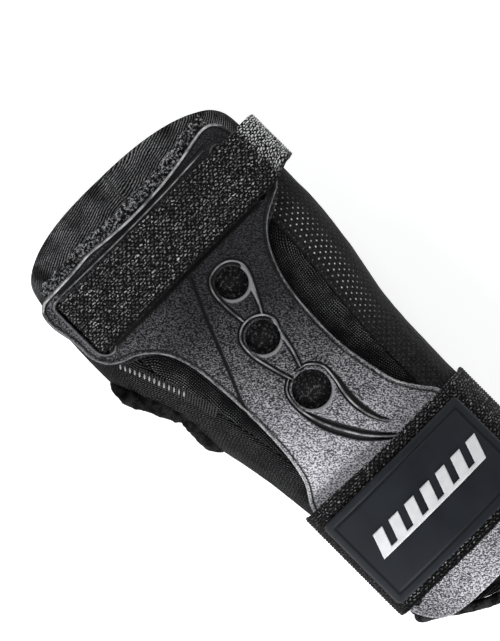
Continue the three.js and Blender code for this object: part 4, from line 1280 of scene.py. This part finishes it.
SEAMS = {"ulnar": 0.65, "palm_ulnar": 1.95, "palm_radial": 2 * math.pi - 2.4, "radial": 2 * math.pi - 0.75}
SEAM_GAP = 0.012
# The sleeve is not round, and this radius only turns its angles into millimetres of cloth.
MEAN_RADIUS = 38.0
CLOTH_STEP = 0.9
CLOTH_ROWS = 200
THUMB_HOLE = {"y": 27.0, "z": 33.0, "half_length": 21.0, "half_height": 11.0}
BINDING_RADIUS = 2.0
THUMB_BINDING_RADIUS = 2.6


def sleeve_folds(angle, y):
    """Small wrinkles of the cloth in millimetres: long soft folds round the wrist, with finer ones."""
    around = angle * 40
    soft = value_noise(around + 20, y * 0.45, 13.0, 21)
    fine = value_noise(around * 1.4, y, 6.0, 22)
    return 0.55 * soft + 0.16 * fine


def panel_grid(angle_low, angle_high, columns):
    """The angle and the y of each grid point of a panel between two seams."""
    angles = np.linspace(angle_low + SEAM_GAP / 2, angle_high - SEAM_GAP / 2, columns)[:, None]
    v = np.linspace(0, 1, CLOTH_ROWS)[None, :]
    start = cuff_edge_y(angles) + BINDING_RADIUS + 0.4
    end = finger_edge_y(angles) - BAND_WIDTH - 0.3
    y = start + (end - start) * v
    return angles + 0 * v, y


def make_panel(name, node, angle_low, angle_high, material, keep=None, ribs_follow_splint=False):
    columns = int((angle_high - angle_low) * MEAN_RADIUS / CLOTH_STEP) + 1
    angles, y = panel_grid(angle_low, angle_high, columns)
    fold = sleeve_folds(angles, y)
    # The cloth dips at its seams, and it stays clear of the pads under the dorsal splint.
    from_seam = np.minimum(angles - angles[:1], angles[-1:] - angles) * MEAN_RADIUS
    fold = fold * smoothstep(0, 6, from_seam) - 0.35 * bump_profile(from_seam, 1.0)
    outer = body_point(angles, y, SLEEVE_THICKNESS + np.minimum(fold, 0.25))
    inner = body_point(angles, y, 0.0)
    uv = np.stack([(angles - angle_low) * MEAN_RADIUS, y], axis=-1)
    if ribs_follow_splint:
        uv[..., 0] = -depth_in_outline(outer[..., 0], y, SPLINT_LINE)
    piece = thick_grid(name, outer, inner, material, uv)
    if keep is not None:
        cut_hole(piece, keep)
    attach(piece, "guard")
    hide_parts(node)


def cut_hole(piece, keep):
    """Takes out the faces whose middle fails keep(point), on both sides. The welt covers the cut edge."""
    editing = bmesh.new()
    editing.from_mesh(piece.data)
    gone = [f for f in editing.faces if not keep(f.calc_center_median() / MM)]
    bmesh.ops.delete(editing, geom=gone, context="FACES")
    editing.to_mesh(piece.data)
    editing.free()


def outside_thumb_hole(point):
    reach = THUMB_BINDING_RADIUS * 0.35
    if point.x > 0:
        return True
    across = (point.y - THUMB_HOLE["y"]) / (THUMB_HOLE["half_length"] + reach)
    up = (point.z - THUMB_HOLE["z"]) / (THUMB_HOLE["half_height"] + reach)
    return across ** 2 + up ** 2 > 1


def make_sleeve():
    make_panel("sleeve_back_cloth", "sleeve_dorsal_panel", SEAMS["radial"] - 2 * math.pi, SEAMS["ulnar"],
               KNIT, ribs_follow_splint=True)
    make_panel("sleeve_ulnar_mesh", "sleeve_ulnar_mesh_panel", SEAMS["ulnar"], SEAMS["palm_ulnar"],
               MESH_CLOTH)
    make_panel("sleeve_palm_cloth", "sleeve_palm_panel", SEAMS["palm_ulnar"], SEAMS["palm_radial"], PALM_KNIT)
    make_panel("sleeve_radial_cloth", "sleeve_radial_panel", SEAMS["palm_radial"], SEAMS["radial"], SIDE_KNIT,
               outside_thumb_hole)


def thumb_hole_line(count):
    turn = np.linspace(0, 2 * math.pi, count, endpoint=False)
    y = THUMB_HOLE["y"] + THUMB_HOLE["half_length"] * np.cos(turn)
    z = THUMB_HOLE["z"] + THUMB_HOLE["half_height"] * np.sin(turn)
    centre_x, half_width, centre_z, half_height, squareness = body_section(y)
    reach = (1 - (np.abs(z - centre_z) / half_height) ** squareness) ** (1 / squareness)
    # The upper side of the welt swells out near the fingers and draws in toward the wrist.
    upper = smoothstep(-0.2, 0.6, np.sin(turn))
    swell = upper * (-1.6 * bump_profile(y - 40, 7) + 1.8 * bump_profile(y - 22, 6) - 0.4)
    x = centre_x - half_width * reach - SLEEVE_THICKNESS / 2 + swell
    return np.stack([x, y, z + 0.6 * upper], axis=1)


def make_bindings():
    # The first half of the thumb hole's line is its upper side, where the welt is thicker.
    upper_length = 52.0

    def welt_radius(place, turn):
        creases = 0.13 * value_noise(place, turn * 3, 3.4, 31) + 0.09 * value_noise(place, turn * 3, 1.5, 33)
        upper = smoothstep(0.0, 14.0, np.minimum(place, upper_length - place))
        return (2.5 + 0.9 * upper) * (1 + creases)

    def cuff_radius(place, turn):
        return BINDING_RADIUS * (1 + 0.10 * value_noise(place, turn * 3, 3.0, 32))

    welt = loop_tube("thumb_hole_welt", thumb_hole_line(260), welt_radius, 20, (-1, 0, 0), WELT)
    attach(welt, "guard")
    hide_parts("thumb_hole_binding")
    angles = np.linspace(0, 2 * math.pi, 420, endpoint=False)
    line = body_point(angles, cuff_edge_y(angles), SLEEVE_THICKNESS / 2)
    cuff = loop_tube("cuff_edge_binding", line, cuff_radius, 16, (0, -1, 0), BINDING)
    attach(cuff, "guard")
    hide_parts("cuff_binding")


def make_finger_band():
    columns, rows = 900, 34
    angles = np.linspace(0, 2 * math.pi, columns, endpoint=False)[:, None]
    v = np.linspace(0, 1, rows)[None, :]
    y = finger_edge_y(angles) - BAND_WIDTH * (1 - v)
    around = angles * 41
    crown = np.sqrt(np.clip(1 - np.abs(2 * v - 1) ** 5, 0, 1))
    folds = 0.35 * value_noise(around, y, 8.0, 41) * crown
    outer = body_point(angles + 0 * v, y, 0.9 + (BAND_THICKNESS - 1.0) * crown + 0.5 * folds)
    inner = body_point(angles + 0 * v, y, 0.0 + 0.3 * (1 - crown))
    uv = np.stack(np.broadcast_arrays(around, y), axis=-1)
    band = thick_grid("finger_edge_knit", outer, inner, RIB, uv, closed=True)
    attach(band, "guard")
    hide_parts("finger_edge_band")


def sleeve_top(x, y):
    """Height of the sleeve's outside over x, on the back of the hand."""
    return body_height(x, y, SLEEVE_THICKNESS, 1)


def make_thumb_side_sewing():
    """A row of pale stitches beside the thumb hole, and the gathered ribs that it holds."""
    def on_sleeve(points, lift):
        line = spline(points, 10)
        return np.stack([line[:, 0], line[:, 1], sleeve_top(line[:, 0], line[:, 1]) + lift], axis=1)

    def normal_at(point):
        slope = sleeve_top(point[0] + 0.5, point[1]) - sleeve_top(point[0] - 0.5, point[1])
        return (-float(slope), 0.0, 1.0)

    row = on_sleeve([(-44.6, 51.5), (-41.5, 44.5), (-38.2, 36.0), (-35.2, 28.5)], 0.65)
    pale = stitch_line("thumb_side_stitches", row, normal_at, 1.75, 2.2, 0.36, PALE_THREAD, lean=-1.25)
    gathers = on_sleeve([(-41.2, 44.0), (-37.2, 34.0), (-33.6, 24.0), (-31.5, 16.0)], 0.05)
    ribs = stitch_line("thumb_side_gathers", gathers, normal_at, 1.0, 5.5, 0.36, THREAD, lean=-1.25)
    for piece in (pale, ribs):
        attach(piece, "guard")


# ---------------------------------------------------------------- pads


def shrunk(points, inset):
    return [(x - np.sign(x) * inset, y - np.sign(y) * inset) for x, y in points]


DORSAL_PAD_LINE = spline(shrunk(SPLINT_OUTLINE, 3), 6, closed=True)


def rounded_pad(lower, upper, depth):
    """Both faces of a pad, which draw together toward its edge, and no relief."""
    rounding = edge_rounding(depth, 1.8)
    middle = (upper + lower) / 2
    return lower + (middle - lower) * 0.8 * rounding, upper - (upper - middle) * 0.8 * rounding, 0 * depth


def dorsal_pad_faces(x, y, depth):
    under = np.maximum(body_height(x, y, BAND_THICKNESS, 1), splint_inner(x, y) - 5.5) + GAP
    top = splint_inner(x, y) - GAP
    for hole_x, hole_y, radius in VENT_HOLES:
        top = top + 0.7 * (1 - smoothstep(0, 1, np.hypot(x - hole_x, y - hole_y) / radius))
    return rounded_pad(under, top, depth)


def make_pads():
    dorsal = cut_sheet("dorsal_pad_cover", lambda x, y: depth_in_outline(x, y, DORSAL_PAD_LINE),
                       even(-51, 43, 0.8), even(-93, 90, 0.8), dorsal_pad_faces, FOAM)
    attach(dorsal, "guard")
    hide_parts("dorsal_foam_pad")
    palm_line = spline(shrunk([tuple(p) for p in PALM_SPLINT_LINE[::8]], 4), 8, closed=True)

    def palm_pad_faces(x, y, depth):
        lower = palm_splint_outer(x, y) + PALM_SPLINT_THICKNESS + GAP
        upper = np.maximum(body_height(x, y, SLEEVE_THICKNESS, -1) - GAP, lower + 0.8)
        return rounded_pad(lower, upper, depth)

    palm = cut_sheet("palm_pad_cover", lambda x, y: depth_in_outline(x, y, palm_line), even(-24, 24, 1.0),
                     even(-70, 56, 1.0), palm_pad_faces, FOAM)
    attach(palm, "guard")
    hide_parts("palm_foam_pad")


def make_pad_overlock():
    """The pad's overlocked edge: a fluffy strip between the splint's distal rim and the finger band."""
    columns, rows = 240, 12
    x = np.linspace(-46, 39, columns)[:, None]
    v = np.linspace(0, 1, rows)[None, :]
    rim_y = np.interp(x, [-48, -36, -24, -10, 5, 20, 33, 39],
                      [86.2, 86.6, 87.5, 86.2, 86.2, 87.5, 90.0, 90.2])
    y = rim_y - 1.5 + 7.2 * v + 0.5 * value_noise(x, 0 * x, 1.6, 51) * v
    crown = np.sqrt(np.clip(1 - np.abs(2 * v - 1) ** 3, 0, 1))
    tufts = 0.35 * value_noise(x, y, 0.9, 52) + 0.2 * value_noise(x, y, 2.0, 53)
    base = body_height(x, y, BAND_THICKNESS, 1) + 0.1
    outer = np.stack([x + 0 * v, y, base + 0.2 + (1.3 + tufts) * crown], axis=-1)
    inner = np.stack([x + 0 * v, y, base], axis=-1)
    strip = thick_grid("pad_edge_overlock", outer, inner, TUFTS)
    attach(strip, "guard")


# ---------------------------------------------------------------- hook and loop tape


def finish_tapes():
    """The tapes keep their CAD shapes, with a pile on them."""
    for node in ("hand_strap_hook_tape", "hand_strap_loop_patch", "forearm_strap_hook_tape",
                 "forearm_loop_band"):
        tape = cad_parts[node]
        tape.data.materials.clear()
        tape.data.materials.append(HOOKS)


# ---------------------------------------------------------------- assembly

make_dorsal_splint()
make_raised_lines()
make_palm_splint()
make_hand_strap()
make_forearm_strap()
make_label()
make_emblem()
make_sleeve()
make_bindings()
make_finger_band()
make_pads()
make_pad_overlock()
make_thumb_side_sewing()
finish_tapes()

# ---------------------------------------------------------------- camera, floor and light

VIEW_CENTRE = (0.0001, 0.0304, 0.062)
VIEW_HEIGHT = 0.2276
LENS = 250.0
SENSOR = 36.0
STAND_OFF = VIEW_HEIGHT * LENS / SENSOR
FLOOR_REACH = 6
FLOOR_GAP = 0.0008

camera_data = bpy.data.cameras.new("camera")
camera_data.lens = LENS
camera_data.sensor_fit = "VERTICAL"
camera_data.sensor_height = SENSOR
camera = link_object("camera", camera_data)
camera.location = (VIEW_CENTRE[0], VIEW_CENTRE[1], VIEW_CENTRE[2] + STAND_OFF)
camera.rotation_euler = (0, 0, math.radians(-45))
bpy.context.scene.camera = camera


def area_light(name, place, aim, size, power):
    data = bpy.data.lights.new(name, "AREA")
    data.shape = "RECTANGLE"
    data.size, data.size_y = size
    data.energy = power
    lamp = link_object(name, data)
    lamp.location = place
    lamp.rotation_euler = (Vector(aim) - Vector(place)).to_track_quat("-Z", "Y").to_euler()


def studio_world():
    """Soft light from the horizon, fading to a dark ceiling, so that edges shine and flat tops stay dark."""
    world = bpy.data.worlds.new("studio")
    world.use_nodes = True
    tree = world.node_tree
    direction = tree.nodes.new("ShaderNodeTexCoord")
    split = tree.nodes.new("ShaderNodeSeparateXYZ")
    fade = tree.nodes.new("ShaderNodeMapRange")
    tree.links.new(direction.outputs["Generated"], split.inputs[0])
    tree.links.new(split.outputs["Z"], fade.inputs["Value"])
    for name, value in (("From Min", 0.0), ("From Max", 0.45), ("To Min", 0.9), ("To Max", 0.02)):
        fade.inputs[name].default_value = value
    background = tree.nodes["Background"]
    background.inputs["Color"].default_value = (0.97, 0.985, 1.0, 1)
    tree.links.new(fade.outputs[0], background.inputs["Strength"])
    bpy.context.scene.world = world


area_light("forearm_key", (-0.30, -0.42, 0.42), (-0.01, -0.05, 0.065), (0.25, 0.25), 4.5)
area_light("fingers", (0.35, 0.9, 0.60), (0, 0.03, 0.04), (0.5, 0.4), 6.0)
area_light("ulnar_side", (1.0, -0.1, 0.65), (0, 0, 0.04), (0.5, 0.9), 3.0)
area_light("thumb_side", (-1.0, 0.1, 0.65), (0, 0, 0.04), (0.5, 0.9), 3.0)
area_light("cuff_side", (0.1, -1.1, 0.65), (0, 0, 0.04), (0.9, 0.5), 2.0)
studio_world()

floor_look = Nodes("floor", (0.90, 0.905, 0.91), 0.75, 0.2)
floor_look.shader.inputs["Emission Color"].default_value = (1, 1, 1, 1)
# The floor glows more farther out, where no lamp reaches it, so that it stays one even white.
from_middle = floor_look.add("ShaderNodeVectorMath", {0: floor_look.object_point()}, operation="LENGTH")
glow = floor_look.remap(from_middle.outputs["Value"], 0.25, 1.2, 0.55, 0.97)
floor_look.tree.links.new(glow, floor_look.shader.inputs["Emission Strength"])
floor_mesh = bpy.data.meshes.new("floor")
floor_corners = [(-1, -1), (1, -1), (1, 1), (-1, 1)]
floor_mesh.from_pydata([(x * FLOOR_REACH, y * FLOOR_REACH, 0) for x, y in floor_corners], [], [(0, 1, 2, 3)])
floor = link_mesh("floor", floor_mesh, floor_look.material)
floor.location = (0, 0, cad_box[0][2] - FLOOR_GAP)

bpy.context.scene.view_settings.view_transform = "Standard"
bpy.context.scene.view_settings.look = "None"
